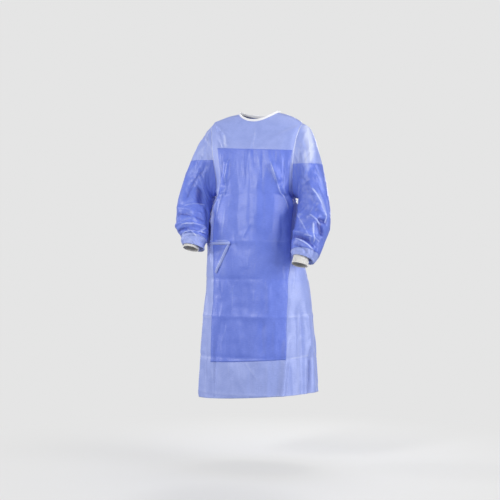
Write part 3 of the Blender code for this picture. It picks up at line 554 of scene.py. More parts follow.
frontPiece = {
    "sideColumns": 34,
    "panelColumns": 84,
    "wall": 0.0005,
    "layerStep": 0.0010,
    "flat": (0.72, 1.22),
    "panelFlat": (0.36, 0.90),
    "panelFlatStart": (0.18, -0.15),
    "strewn": {"seed": 31, "count": 80, "across": (-80.0, 80.0), "down": (-1.12, -0.20), "spread": 0.34,
               "length": (0.03, 0.11), "height": (0.0006, 0.0017), **bodyStrewn},
    # fine folds and creases over the ones in the form
    "folds": packingFolds + foldTable(
        round=(
            (-82.8, -0.03, -49, -0.078, 6, 4), (-48.5, -0.074, -42.5, -0.152, 7, 5),
            (-0.2, -0.156, -1.5, -0.263, 6, 1.6), (-32.2, -0.162, -36.2, -0.253, 5, -1.6),
            (-20.7, -0.159, -21, -0.278, 5, 1.4), (-10.2, -0.159, -4, -0.337, 5, -1.7),
            (22.5, -0.157, 24.3, -0.289, 5, -1.8), (31.3, -0.162, 39.5, -0.24, 5, 1.8),
            (43.5, -0.162, 49, -0.264, 5, -1.8), (55.2, -0.163, 65.8, -0.304, 5, 1.8),
            (66.5, -0.167, 60.8, -0.386, 5, -2), (-42, -0.408, -44.8, -0.523, 6, 3),
            (-52.2, -0.164, -57, -0.284, 6, 3.5), (3, -0.218, 12.7, -0.529, 9, -1.6),
            (22.8, -0.199, 27.8, -0.525, 8, -1.5), (-12, -0.3, -2.2, -0.528, 10, 1.4),
            (15, -0.239, 20.3, -0.524, 8, 1.2), (40, -0.321, 41, -0.528, 11, 1.4),
            (52, -0.382, 56, -0.528, 9, -1.6), (-38.5, -0.774, -30.5, -0.909, 6, 1.8),
            (2.3, -0.69, 2, -0.844, 12, -2.6), (26.3, -0.694, 23.7, -0.847, 11, 2.6),
            (-7.5, -0.849, -4.5, -1.011, 11, 2.6), (17.5, -0.847, 17.2, -1.012, 12, -3),
            (31, -0.843, 30, -1.011, 10, 2.6), (-23.2, -0.85, -22.5, -1.014, 8, -2.2),
            (45, -1.016, 40.5, -1.169, 6, -4), (-15.2, -1.021, -13, -1.169, 9, 2.2),
            (5.5, -1.021, 5.8, -1.169, 10, -2.6), (23, -1.02, 21.8, -1.169, 9, 2.4),
            (-39.5, -0.935, -36, -1.169, 6, 3), (-55.5, -0.897, -47.5, -1.169, 6, -2.6),
            (48.5, -1.029, 48.3, -1.169, 6, 3), (56.2, -0.848, 53.8, -0.989, 7, 2.6),
            (64.8, -0.926, 64.8, -1.014, 7, -2.8), (77, -0.826, 77.5, -0.94, 9, 6),
            (83, -0.9, 72, -1.017, 8, 5), (68, -1.02, 65.3, -1.169, 6, 2.6),
        ),
        sharp=(
            (4.3, -0.062, 6.2, -0.157, 4, 2), (3.8, -0.123, 11.7, -0.24, 5, -2.6),
            (11.2, -0.132, 13, -0.215, 4.5, -2.2), (36.8, -0.208, 53.3, -0.313, 5, 5),
            (49, -0.285, 66, -0.418, 7, 4.5), (-36.2, -0.19, -43.5, -0.285, 5.5, 4),
            (-43.2, -0.252, -36, -0.359, 5.5, 4), (-40.7, -0.326, -41.8, -0.433, 6, 4),
            (-82.8, -0.322, -35.2, -0.375, 5, 2.6), (-49.3, -0.317, -70.8, -0.368, 5, 2.6),
            (-49, -0.362, -46.2, -0.466, 5, 2.6), (-14.5, -0.691, -15.7, -0.85, 7, 1.8),
            (-43.2, -0.532, -43.2, -0.788, 6, -2.4), (-35, -0.712, -28.5, -0.786, 4.5, 2),
            (65.8, -0.816, 64.8, -0.934, 6, -4.5), (80, -1, 72.5, -1.169, 9, -8),
        ),
        crease=(
            (-11.7, -0.532, -15, -0.695, 6, 1.6), (41.8, -1.008, 35.8, -1.169, 6, 3.6),
        ),
        # painted highlights: light facets, lit fold sides and bright lines along the packing creases
        pale=(
            (-42.5, -0.088, -43.7, -0.156, 9, 0.55), (-57.7, -0.163, -53, -0.267, 8, 0.35),
            (-64.2, -0.291, -54, -0.49, 12, 0.7), (-25.2, -0.532, -26.7, -0.704, 20, 0.2),
            (62.8, -0.776, 55.2, -1.169, 16, 0.26), (-5, -0.164, 7.8, -0.533, 16, 0.1),
            (-61.2, -0.623, -50, -1.169, 7, 0.18), (-43, -0.536, -13, -0.536, 3.6, 0.6),
            (21.5, -0.536, 68.5, -0.537, 3.4, 0.3), (41, -0.843, 90, -0.835, 3.6, 0.42),
            (-75, -0.854, -40, -0.849, 3.6, 0.35), (41.8, -1.012, 81.5, -1, 3.6, 0.5),
            (-62, -1.019, -39.5, -1.017, 3.6, 0.35), (-20, -1.015, 39.5, -1.016, 3, 0.2),
            (0, -0.164, 5.3, -0.264, 3, 0.33), (11.2, -0.161, 24, -0.277, 3, 0.33),
            (-8.5, -0.168, -14.2, -0.295, 3, 0.26), (23.2, -0.17, 34, -0.248, 3, 0.3),
            (37, -0.171, 50.8, -0.24, 3, 0.26), (56.5, -0.179, 70.8, -0.256, 4, 0.3),
            (-20.7, -0.167, -27.8, -0.245, 3, 0.26), (37.5, -0.232, 49, -0.297, 3, 0.7),
            (-27.5, -0.389, -27, -0.532, 4, 0.35), (-71.5, -0.366, -46, -0.523, 6, 0.5),
            (65.8, -0.24, 62.8, -0.389, 8, 0.2),
        ),
    ),
}
frontPiece["folds"] += strewnCreases(frontPiece["strewn"])


def frontShare(column, place):
    row = readRows(gownForm, place)
    side, panel = frontPiece["sideColumns"], frontPiece["panelColumns"]
    left = -1.0 + (row["panelLeft"] + 1.0) * column / side
    middle = row["panelLeft"] + (row["panelRight"] - row["panelLeft"]) * (column - side) / panel
    right = row["panelRight"] + (1.0 - row["panelRight"]) * (column - side - panel) / side
    return np.where(column <= side, left, np.where(column <= side + panel, middle, right))


def buildFront():
    places = rowPlaces(0, gownForm["hemRow"])
    columns = 2 * frontPiece["sideColumns"] + frontPiece["panelColumns"]
    width, length = frontPiece["flat"]

    def placeOf(u, v):
        place = places[np.round(v * (len(places) - 1)).astype(int)]
        share = frontShare(np.round(u * columns), place)
        point = torsoPoint("front", share, place, 0.0, frontPiece["folds"])
        return point, u * width, -v * length, torsoPaintedLight("front", share, place, frontPiece["folds"])

    mesh = gridShape("frontPanel", columns, len(places) - 1, placeOf)
    panel = addPiece("frontPanel", mesh, baseCloth, "front", frontPiece["wall"])

    first, last = gownForm["panelTopRow"], gownForm["panelBottomRow"]
    inner = places[(places >= first - 1e-6) & (places <= last + 1e-6)]

    def panelPlaceOf(u, v):
        place = inner[np.round(v * (len(inner) - 1)).astype(int)]
        column = frontPiece["sideColumns"] + np.round(u * frontPiece["panelColumns"])
        share = frontShare(column, place)
        point = torsoPoint("front", share, place, frontPiece["layerStep"], frontPiece["folds"])
        tint = torsoPaintedLight("front", share, place, frontPiece["folds"])
        (panelWidth, panelLength), (startX, startY) = frontPiece["panelFlat"], frontPiece["panelFlatStart"]
        return point, u * panelWidth + startX, -v * panelLength + startY, tint

    mesh = gridShape("frontReinforcement", frontPiece["panelColumns"], len(inner) - 1, panelPlaceOf)
    panel = addPiece("frontReinforcement", mesh, reinforcedCloth, "front_reinforcement",
                     frontPiece["wall"])


buildFront()

backPiece = {
    "columns": 104,
    "wall": 0.0005,
    "flapLift": 0.007,  # how far the outer back stands off the inner one
    "liftFrom": 86.0,
    "liftTo": 54.0,
    "flat": (0.50, 1.20),
    "flatStart": 1.5,
    "strewn": {"seed": 32, "count": 110, "across": (-85.0, 85.0), "down": (-1.15, -0.06), "spread": 0.4,
               "length": (0.03, 0.12), "height": (0.0006, 0.0019), **bodyStrewn},
    "folds": packingFolds + foldTable(
        round=(
            (20, -0.06, 24, -0.3, 8, -3), (-22, -0.07, -25, -0.28, 8, 3), (58, -0.56, 54, -0.8, 9, -3.5),
            (-62, -0.58, -60, -0.83, 9, 3.5), (10, -0.5, 12, -0.68, 8, 3), (30, -0.85, 27, -1.01, 9, 3),
            (79, -0.9, 81, -1.169, 9, 4), (-46, -0.9, -44, -1.169, 9, -4), (-83, -0.6, -82, -0.99, 8, 3.5),
            (22, -1.01, 23, -1.169, 8, -3), (-24, -0.54, -22, -0.84, 8, 2.8),
            (-16, -0.3, -14, -0.54, 8, -2.8),
        ),
        sharp=(
            (35, -0.2, 33, -1.169, 6, 2.6), (-38, -0.22, -36, -1.169, 6, -2.6), (70, -0.14, 52, -0.34, 8, 5),
            (-72, -0.15, -50, -0.36, 8, 5), (52, -0.34, 44, -0.5, 7, 4), (-50, -0.36, -40, -0.52, 7, 4),
            (80, -0.36, 70, -0.52, 7, 4), (-80, -0.37, -69, -0.53, 7, 4), (58, -0.86, 60, -1.02, 7, 3),
            (-60, -1.01, -57, -1.169, 7, 3.4),
        ),
    ),
}
backPiece["folds"] += strewnCreases(backPiece["strewn"])


def flapTurn(place):
    row = readRows(gownForm, place)
    turn = np.radians(row["turn"])
    return np.arcsin(row["flap"] * np.sin(turn) / row["wide"]) / turn * 90.0


def backPoint(side, turn, place, offset=0.0):
    lift = 0.0
    if side > 0:
        liftFrom, liftTo = backPiece["liftFrom"], backPiece["liftTo"]
        lift = backPiece["flapLift"] * smooth((liftFrom - turn) / (liftFrom - liftTo))
    share = side * turn / 90.0
    return torsoPoint("back", share, place, offset + lift * np.ones_like(share), backPiece["folds"])


def buildBack(name, side, node):
    places = rowPlaces(0, gownForm["hemRow"])
    width, length = backPiece["flat"]

    def placeOf(u, v):
        place = places[np.round(v * (len(places) - 1)).astype(int)]
        turn = 90.0 - (90.0 + flapTurn(place)) * u
        tint = torsoPaintedLight("back", side * turn / 90.0, place, backPiece["folds"])
        return backPoint(side, turn, place), u * width + backPiece["flatStart"] * side, -v * length, tint

    mesh = gridShape(name, backPiece["columns"], len(places) - 1, placeOf, flip=side < 0)
    panel = addPiece(name, mesh, baseCloth, node, backPiece["wall"])


buildBack("backLeftPanel", 1.0, "back_left")
buildBack("backRightPanel", -1.0, "back_right")

sleeveColumns = "outerX outerZ innerX innerZ midY deep lean"

# each sleeve is a row of rings from the shoulder to the cuff. Its folds are told in degrees round the sleeve,
# from its outer side forwards, and in rings down it
sleevePieces = {
    "right": {
        "side": -1.0,
        "form": {"columns": sleeveColumns, "rows": (
            (0.219, -0.066, 0.189, -0.347, 0.002, 0.072, 0),
            (0.248, -0.106, 0.195, -0.35, 0, 0.075, 0),
            (0.273, -0.152, 0.195, -0.36, -0.004, 0.077, 2),
            (0.295, -0.205, 0.195, -0.365, -0.008, 0.078, 4),
            (0.314, -0.262, 0.196, -0.379, -0.014, 0.078, 7),
            (0.3278, -0.322, 0.1948, -0.395, -0.028, 0.077, 12),
            (0.3359, -0.378, 0.1949, -0.418, -0.046, 0.075, 17),
            (0.334, -0.425, 0.193, -0.447, -0.065, 0.072, 21),
            (0.3278, -0.466, 0.1908, -0.48, -0.085, 0.069, 24),
            (0.3171, -0.498, 0.1881, -0.508, -0.101, 0.064, 25),
            (0.2951, -0.522, 0.1871, -0.529, -0.113, 0.056, 25),
            (0.2924, -0.541, 0.1944, -0.548, -0.122, 0.05, 24),
            (0.2818, -0.557, 0.1918, -0.569, -0.13, 0.043, 22),
        )},
        "folds": foldTable(
            round=(
                (40, 4.5, 80, 7.6, 12, 6), (110, 4, 130, 7, 22, -8), (20, 7.6, 150, 8, 10, 6),
                (10, 8.3, 170, 8.6, 9, -6), (-40, 9.4, 200, 9.6, 9, 6), (-10, 10.4, 190, 10.3, 7, -7),
                (210, 5.5, 320, 6.5, 14, -7), (200, 7.6, 330, 8, 12, 6), (21, 2.7, 44, 1.39, 7, 2.4),
                (62, 3.11, 70, 6, 10, 3.5), (149, 6.38, 176, 9.69, 10, -5), (99, 7.98, 126, 9.23, 8, 5),
                (64, 8.41, 80, 10.4, 7, 3.5), (127, 12.07, 284, 14, 6, 3), (160, 11.77, 178, 13.55, 6, -2.4),
            ),
            sharp=(
                (28, 0.16, 52, 1.17, 6, 3.4), (16, 1.35, 68, 0.46, 6, 3.4), (100, 1.31, 76, 7.5, 9, -5),
                (72, 7.62, 152, 6.11, 7, 3.6), (118, 7.23, 102, 9.47, 6, -3), (56, 9.86, 173, 9.17, 6, 5),
                (40, 10.46, 176, 9.55, 5.5, -5), (40, 11.14, 179, 9.97, 5.5, 5),
                (82, 10.25, 128, 11.49, 5, 4), (45, 11.9, 170, 11.13, 5, -4), (120, 10.85, 172, 9.04, 5, 4),
                (76, 11.99, -56, 13.99, 5, -3.2),
            ),
            # painted highlights: light facets and patches on the sleeve
            pale=(
                (99, 7.85, 126, 9.36, 11, 0.4), (26, 5.63, 40, 7.67, 9, 0.32), (67, 1.17, 51, 2.75, 12, 0.3),
                (16, 1.07, 84, 0.06, 5, 0.35), (61, 10.33, 138, 9.2, 6, 0.3), (43, 4.98, 92, 2.66, 12, 0.25),
                (62, 7.52, 115, 6.22, 10, 0.25), (59, 9.48, 122, 8.51, 8, 0.32),
                (60, 10.98, 147, 9.77, 6, 0.3),
            ),
        ),
        "darkTopZ": -0.198,
        "darkEnd": 11.0,
        "seed": 21,
        "paintedShade": 0.0,
    },
    "left": {
        "side": 1.0,
        "form": {"columns": sleeveColumns, "rows": (
            (0.223, -0.07, 0.178, -0.36, 0.002, 0.072, 0),
            (0.242, -0.11, 0.1815, -0.363, 0, 0.075, 0),
            (0.258, -0.158, 0.185, -0.365, -0.004, 0.077, 2),
            (0.272, -0.208, 0.186, -0.369, -0.006, 0.078, 4),
            (0.286, -0.262, 0.188, -0.379, -0.01, 0.078, 7),
            (0.301, -0.322, 0.1885, -0.395, -0.018, 0.077, 12),
            (0.315, -0.38, 0.1885, -0.418, -0.03, 0.076, 18),
            (0.323, -0.432, 0.187, -0.45, -0.045, 0.074, 24),
            (0.324, -0.478, 0.186, -0.487, -0.063, 0.072, 28),
            (0.314, -0.52, 0.184, -0.523, -0.082, 0.069, 30),
            (0.306, -0.556, 0.184, -0.556, -0.1, 0.064, 30),
            (0.297, -0.592, 0.19, -0.583, -0.117, 0.056, 28),
            (0.282, -0.62, 0.197, -0.602, -0.132, 0.047, 24),
        )},
        "folds": foldTable(
            round=(
                (88, 4.6, 42, 8.4, 12, 9), (150, 6.4, 95, 9.6, 12, 6), (70, 7.8, 20, 8.6, 10, 7),
                (60, 9, 15, 8.9, 10, -8), (170, 9.6, 30, 11.2, 10, 7), (170, 10.2, 20, 11.8, 8, -7),
                (210, 6, 320, 7.2, 14, -7), (190, 9, 320, 9.6, 12, 7), (0, 0, 48, 2.62, 11, 5),
                (38, 2.11, 62, 4.01, 9, 3.5), (42, 5.48, 26, 6.99, 9, -3.6), (56, 9.13, 16, 10.28, 11, -8),
                (32, 9.2, 14, 10.7, 7, 4.5), (30, 10.82, 12, 12.43, 6, 3.4), (77, 12.28, -70, 13.88, 6, 4),
            ),
            sharp=(
                (84, 2.57, -8, 3.4, 4.5, 2.4), (70, 2.51, 1, 3.03, 4.5, -2.4), (62, 2.34, -4, 2.59, 4.5, 2.4),
                (64, 3.81, -8, 3.74, 4.5, -1.8), (72, 5.78, 42, 7.87, 8, 7), (50, 7.53, 20, 9.04, 8, 6),
                (124, 0.84, 72, 6.09, 7, -3.4), (101, 1.13, 156, 6.82, 5, 3), (88, 8.48, 38, 9.45, 6.5, 6),
                (70, 9.1, 45, 11.4, 7.5, 6.5), (156, 7.29, 49, 11.64, 5.5, 3.2), (136, 10.75, 32, 12.1, 6, 5),
                (142, 11.39, 31, 12.8, 6, -5), (133, 11.86, 278, 13.71, 6, 5),
                (112, 10.86, 17, 11.58, 6, -4.4), (92, 10.71, 16, 10.95, 6, 3.6),
                (35, 11.6, 19, 12.97, 6, -4.4),
            ),
            crease=(
                (66, 4.86, 14, 5.47, 6, 3),
            ),
            # painted highlights: the bright cap and light facets and patches on the sleeve
            pale=(
                (0, 0.09, 57, 4.03, 26, 0.92), (30, 0.6, 34, 3.3, 30, 0.74), (60, 6.11, 22, 8.88, 20, 0.85),
                (36, 4.3, 22, 6.66, 15, 0.6), (68, 9.7, 45, 11.6, 9, 0.5), (100, 11.56, 22, 12.42, 8, 0.35),
                (43, 10.97, 26, 12.73, 7, 0.3), (132, 12.26, 259, 13.28, 6, 0.3),
                (62, 1.44, 70, 4.4, 15, 0.6), (28, 4.53, 26, 6.22, 11, 0.5), (20, 6.58, 10, 8.73, 8, 0.6),
                (108, 10.22, 36, 10.45, 7, 0.3), (118, 12.09, 66, 12.42, 7, 0.42),
            ),
        ),
        "darkTopZ": -0.222,
        "darkEnd": 12.0,
        "seed": 22,
        # painted shade that darkens this sleeve below its cap
        "paintedShade": -0.30,
    },
    "perDegree": 0.0013,
    "perRing": 0.045,
    "endFade": 0.22,
    "lastRing": 13.0,
    "besideRow": 8,  # from this row of the gown down a sleeve may lie against the body
    "bodyStand": 0.0045,
    "turns": 152,
    "capRows": 34,
    "darkRows": 96,
    "endRows": 24,
    "leastCap": 0.03,
    "seamGap": 0.0004,
    "wall": 0.0005,
    "layerStep": 0.0011,
    "crumple": {"layers": 8, "pitch": 0.052, "height": 0.0026},
    "crumpleRadius": 0.15,
    "crumpleStep": (0.012, 0.045),
    "strewn": {"count": 80, "across": (0.0, 360.0), "down": (1.0, 12.2), "heading": 0.9, "spread": 0.7,
               "length": (0.02, 0.06), "height": (0.0008, 0.0024), "width": 0.0045, "perAcross": 0.0013,
               "perDown": 0.045},
    "paintedShadeRings": (2.5, 5.5),  # rings over which a sleeve's painted shade comes in
    "flat": (0.44, 0.52),
    "darkFlat": (0.42, 0.36),
    "flatStarts": (3.0, 3.2),
}

cuffPieces = {
    "right": {"top": (-0.2380, -0.1180, -0.506), "bottom": (-0.2440, -0.1420, -0.568), "radius": 0.0310},
    "left": {"top": (0.2380, -0.128, -0.566), "bottom": (0.2300, -0.152, -0.633), "radius": 0.0312},
    "join": 0.42,
    "clear": 0.0026,
    "ribs": 46,
    "ribDepth": 0.0007,
    "swell": (0.0012, 0.0010),  # how unevenly the knit stands out, round the arm and along it
    "rows": 26,
    "wall": 0.0011,
    "flat": (0.20, 0.072),
}


def cuffPoint(sideName, share, angle, offset=0.0):
    settings = cuffPieces[sideName]
    side = sleevePieces[sideName]["side"]
    top, bottom = Vector(settings["top"]), Vector(settings["bottom"])
    axis = (bottom - top).normalized()
    outward = Vector((side, 0.0, 0.0))
    outward = (outward - axis * outward.dot(axis)).normalized()
    forward = Vector((0.0, -1.0, 0.0))
    forward = (forward - axis * forward.dot(axis) - outward * forward.dot(outward)).normalized()
    turn = np.radians(angle)[..., None]
    share = np.asarray(share, float) * np.ones_like(angle)
    centre = np.array(top) + np.array(bottom - top) * share[..., None]
    return centre + (np.array(outward) * np.cos(turn) + np.array(forward) * np.sin(turn)) \
        * (settings["radius"] + np.asarray(offset)[..., None])


def armholePoint(side, angle):
    front = angle <= 180.0
    share = np.where(front, angle, 360.0 - angle) / 180.0
    place = gownForm["tipRow"] + (gownForm["underRow"] - gownForm["tipRow"]) * share
    ends = (torsoBase(face, side * np.ones_like(share), place) for face in ("front", "back"))
    return np.where(front[..., None], *ends)


def ringPoint(sideName, number, angle):
    settings = sleevePieces[sideName]
    row = readRows(settings["form"], number - 1.0)
    outer = np.stack((settings["side"] * row["outerX"], row["midY"], row["outerZ"]), -1)
    inner = np.stack((settings["side"] * row["innerX"], row["midY"], row["innerZ"]), -1)
    lean = np.radians(row["lean"])
    forward = np.stack((np.zeros_like(lean), -np.cos(lean), np.sin(lean)), -1) * row["deep"][..., None]
    turn = np.radians(angle)[..., None]
    return (outer + inner) / 2.0 + (outer - inner) / 2.0 * np.cos(turn) + forward * np.sin(turn)


# keeps a sleeve's points off the body's side, where it would otherwise press into it
def besideBody(point):
    rows = gownForm["rows"][sleevePieces["besideRow"]:]
    heights = np.array([-row[2] for row in rows])
    place = sleevePieces["besideRow"] + np.interp(-point[..., 2], heights, np.arange(len(rows)))
    row = readRows(gownForm, place)
    front = point[..., 1] < (row["frontEdge"] + row["backEdge"]) / 2.0
    middle = np.where(front, row["frontMid"], row["backMid"])
    edge = np.where(front, row["frontEdge"], row["backEdge"])
    turn = np.radians(row["turn"])
    half = (middle - edge) / (1.0 - np.cos(turn))
    centreX, centreY = row["shift"], edge - half * np.cos(turn)
    awayX, awayY = point[..., 0] - centreX, point[..., 1] - centreY
    stand = sleevePieces["bodyStand"]
    reach = np.hypot(awayX / (row["wide"] / np.sin(turn) + stand), awayY / (np.abs(half) + stand))
    reach = np.where(-point[..., 2] < heights[0], 1.0, np.clip(reach, 0.1, 1.0))
    return np.stack([centreX + awayX / reach, centreY + awayY / reach, point[..., 2]], axis=-1)


def sleeveSurface(sideName, angle, number):
    settings = sleevePieces[sideName]
    last = sleevePieces["lastRing"]
    angle = np.mod(angle, 360.0)
    ring = besideBody(ringPoint(sideName, np.clip(number, 1.0, last), angle))
    edge = armholePoint(settings["side"], angle)
    capShare = np.clip(number, 0.0, 1.0)[..., None]
    firstRing = besideBody(ringPoint(sideName, np.ones_like(number), angle))
    start = edge + unit(firstRing - edge) * sleevePieces["seamGap"]
    capped = start + (firstRing - start) * capShare
    tucked = cuffPoint(sideName, cuffPieces["join"], angle, cuffPieces["clear"])
    endShare = np.clip(number - last, 0.0, 1.0)[..., None]
    ended = ring * (1.0 - endShare) + tucked * endShare
    return np.where((number < 1.0)[..., None], capped, ended)


def sleeveNormal(sideName, angle, number):
    step = 0.05
    low = np.maximum(number - step, 0.0)
    high = np.minimum(number + step, sleevePieces["lastRing"] + 1.0)
    along = sleeveSurface(sideName, angle, high) - sleeveSurface(sideName, angle, low)
    around = sleeveSurface(sideName, angle + 2.0, number) - sleeveSurface(sideName, angle - 2.0, number)
    return unit(np.cross(around, along) * sleevePieces[sideName]["side"])


# metres in a degree and in a ring, and the share of a fold over which it dies out
def sleeveScale():
    return sleevePieces["perDegree"], sleevePieces["perRing"], sleevePieces["endFade"]


# every fold is looked up twice, so that it runs on over the line where the angle starts again
def sleeveLift(sideName, angle, number):
    settings = sleevePieces[sideName]
    total = sum(foldLift(settings["folds"], turned, number, *sleeveScale())
                for turned in (angle, angle - 360.0))
    turn, radius = np.radians(angle), sleevePieces["crumpleRadius"]
    stepX, stepY = sleevePieces["crumpleStep"]
    fine = crumple(radius * np.cos(turn) + number * stepX, radius * np.sin(turn) + number * stepY,
                   sleevePieces["crumple"], settings["seed"])
    return total + fine * smooth(number / 0.6)


def sleevePaintedLight(sideName, angle, number):
    settings = sleevePieces[sideName]
    first, second = (foldPaintedLight(settings["folds"], turned, number, *sleeveScale())
                     for turned in (angle, angle - 360.0))
    nearer = second["lineWhite"] > first["lineWhite"]
    tint = {"tint": np.where(np.abs(second["tint"]) > np.abs(first["tint"]), second["tint"], first["tint"])}
    for key in ("lineFar", "lineWhite"):
        tint[key] = np.where(nearer, second[key], first[key])
    # a painted highlight line along the armhole seam
    edge = number * sleevePieces["perRing"]
    onSeam = edge < creaseSettings["seamWidth"]
    tint["lineFar"] = np.where(onSeam, edge, tint["lineFar"])
    tint["lineWhite"] = np.where(onSeam, creaseSettings["sleeveSeamWhite"], tint["lineWhite"])
    # painted shade over the sleeve below its cap
    shadeFrom, shadeTo = sleevePieces["paintedShadeRings"]
    tint["tint"] = tint["tint"] + settings["paintedShade"] * smooth((number - shadeFrom) / (shadeTo - shadeFrom))
    return tint


def sleevePoint(sideName, angle, number, offset=0.0):
    normal = sleeveNormal(sideName, angle, number)
    folded = sleeveSurface(sideName, angle, number) + normal * sleeveLift(sideName, angle, number)[..., None]
    return np.where((number < 1.0)[..., None], folded, besideBody(folded)) + normal * offset


# the ring number at which the dark sheet starts, for each angle
def darkStart(sideName, angle):
    low = np.full_like(angle, sleevePieces["leastCap"])
    high = np.full_like(angle, 8.0)
    topZ = sleevePieces[sideName]["darkTopZ"]
    for _ in range(26):
        middle = (low + high) / 2.0
        above = sleeveSurface(sideName, angle, middle)[..., 2] > topZ
        low = np.where(above, middle, low)
        high = np.where(above, high, middle)
    return low


def sleeveNumber(sideName, angle, row):
    capRows, darkRows, endRows = (sleevePieces[key] for key in ("capRows", "darkRows", "endRows"))
    start = darkStart(sideName, angle)
    end = sleevePieces[sideName]["darkEnd"]
    last = sleevePieces["lastRing"] + 1.0
    return np.where(row <= capRows, start * row / capRows,
                    np.where(row <= capRows + darkRows, start + (end - start) * (row - capRows) / darkRows,
                             end + (last - end) * (row - capRows - darkRows) / endRows))


def buildSleeve(sideName):
    sleevePieces[sideName]["folds"] += strewnCreases(sleevePieces["strewn"], sleevePieces[sideName]["seed"])
    flip = sleevePieces[sideName]["side"] < 0.0
    turns = sleevePieces["turns"]
    rows = sleevePieces["capRows"] + sleevePieces["darkRows"] + sleevePieces["endRows"]
    width, length = sleevePieces["flat"]
    rings = sleevePieces["lastRing"] + 1.0
    start, darkStartX = sleevePieces["flatStarts"]

    def angleOf(u):
        angle = np.mod(np.round(u * turns), turns) * 360.0 / turns
        return np.mod(360.0 - angle, 360.0) if flip else angle

    def placeOf(u, v):
        angle = angleOf(u)
        number = sleeveNumber(sideName, angle, np.round(v * rows))
        point = sleevePoint(sideName, angle, number)
        return point, u * width + start, -number * length / rings, sleevePaintedLight(sideName, angle, number)

    sideWord = sideName.capitalize()
    name = "sleeve" + sideWord
    mesh = gridShape(name, turns, rows, placeOf, closed=True)
    sleeve = addPiece(name, mesh, baseCloth, "sleeve_" + sideName, sleevePieces["wall"])

    def darkPlaceOf(u, v):
        angle = angleOf(u)
        row = np.round(v * sleevePieces["darkRows"]) + sleevePieces["capRows"]
        number = sleeveNumber(sideName, angle, row)
        point = sleevePoint(sideName, angle, number, sleevePieces["layerStep"])
        return point, u * width + darkStartX, -number * length / rings, sleevePaintedLight(sideName, angle, number)

    name = "sleeveReinforcement" + sideWord
    mesh = gridShape(name, turns, sleevePieces["darkRows"], darkPlaceOf, closed=True)
    dark = addPiece(name, mesh, reinforcedCloth, "sleeve_reinforcement_" + sideName,
                    sleevePieces["wall"])


def buildCuff(sideName):
    flip = sleevePieces[sideName]["side"] < 0.0
    columns = cuffPieces["ribs"] * 6
    width, length = cuffPieces["flat"]

    def placeOf(u, v):
        angle = np.mod(np.round(u * columns), columns) * 360.0 / columns
        angle = np.mod(360.0 - angle, 360.0) if flip else angle
        rib = cuffPieces["ribDepth"] * np.cos(np.radians(angle) * cuffPieces["ribs"])
        roundSwell, longSwell = cuffPieces["swell"]
        swell = roundSwell * np.sin(np.radians(angle) * 3.0 + v * 2.0) + longSwell * np.cos(v * 6.28)
        return cuffPoint(sideName, v, angle, rib + swell), u * width, -v * length

    name = "cuff" + sideName.capitalize()
    mesh = gridShape(name, columns, cuffPieces["rows"], placeOf, closed=True)
    cuff = addPiece(name, mesh, knitCloth, "cuff_" + sideName, cuffPieces["wall"])


for sideName in ("right", "left"):
    buildSleeve(sideName)
    buildCuff(sideName)


def roundBody(turn, place, offset=0.0):
    turn = np.asarray(turn, float)
    place = place * np.ones_like(turn)
    side = np.where(turn > 0.0, 1.0, -1.0)
    front = torsoPoint("front", np.clip(turn, -90.0, 90.0) / 90.0, place, offset, frontPiece["folds"])
    backLeft = backPoint(1.0, 180.0 - np.abs(turn), place, offset)
    backRight = backPoint(-1.0, 180.0 - np.abs(turn), place, offset)
    back = np.where((side > 0)[..., None], backLeft, backRight)
    return np.where((np.abs(turn) <= 90.0)[..., None], front, back)


bindingPiece = {
    "halfHeight": 0.0056,
    "halfWall": 0.0013,
    "low": 0.0030,
    "lean": 0.35,
    "columns": 220,
    "round": 14,
    "square": 0.7,
    "turnStep": 0.5,
    "rowStep": 0.2,
    "flat": (0.012, 0.62),
}


# cosine and sine of a circle that a low power makes squarer
def superRound(angle, power):
    return tuple(np.sign(wave) * np.abs(wave) ** power for wave in (np.cos(angle), np.sin(angle)))


def buildBinding():
    reach = 180.0 + float(flapTurn(np.array([0.0]))[0])
    width, length = bindingPiece["flat"]

    def placeOf(u, v):
        turn = -reach + 2.0 * reach * u
        edge = roundBody(turn, 0.0)
        slope = unit(edge - roundBody(turn, bindingPiece["rowStep"]))
        upward = unit(slope * bindingPiece["lean"] + np.array((0.0, 0.0, 1.0)))
        step = bindingPiece["turnStep"]
        ends = np.maximum(turn - step, -reach), np.minimum(turn + step, reach)
        behind, beyond = (roundBody(end, 0.0) for end in ends)
        ahead = unit(beyond - behind)
        outward = unit(np.cross(ahead, upward))
        sides = bindingPiece["round"]
        roll = np.mod(np.round(v * sides), sides) * 2.0 * math.pi / sides
        high, out = superRound(roll, bindingPiece["square"])
        centre = edge + upward * bindingPiece["low"]
        point = centre + upward * (high * bindingPiece["halfHeight"])[..., None] \
            + outward * (out * bindingPiece["halfWall"])[..., None]
        return point, u * length, v * width

    mesh = gridShape("neckBinding", bindingPiece["columns"], bindingPiece["round"], placeOf, closed=True)
    made = bmesh.new()
    made.from_mesh(mesh)
    bmesh.ops.holes_fill(made, edges=[edge for edge in made.edges if edge.is_boundary], sides=0)
    bmesh.ops.recalc_face_normals(made, faces=made.faces)
    made.to_mesh(mesh)
    made.free()
    binding = addPiece("neckBinding", mesh, tapeCloth, "neck_binding")


buildBinding()

tabPiece = {
    "turns": (6.0, -26.0),
    "rows": (0.10, 0.62),
    "stand": 0.0016,
    "wall": 0.0009,
    "grid": (40, 14),
    "flat": (0.045, 0.018),
}


def buildTab():
    width, length = tabPiece["flat"]

    def placeOf(u, v):
        turn = tabPiece["turns"][0] + (tabPiece["turns"][1] - tabPiece["turns"][0]) * u
        place = tabPiece["rows"][0] + (tabPiece["rows"][1] - tabPiece["rows"][0]) * v
        return backPoint(1.0, turn, place, tabPiece["stand"]), u * width, -v * length

    mesh = gridShape("neckTab", *tabPiece["grid"], placeOf)
    tab = addPiece("neckTab", mesh, tapeCloth, "neck_tab", tabPiece["wall"])


buildTab()

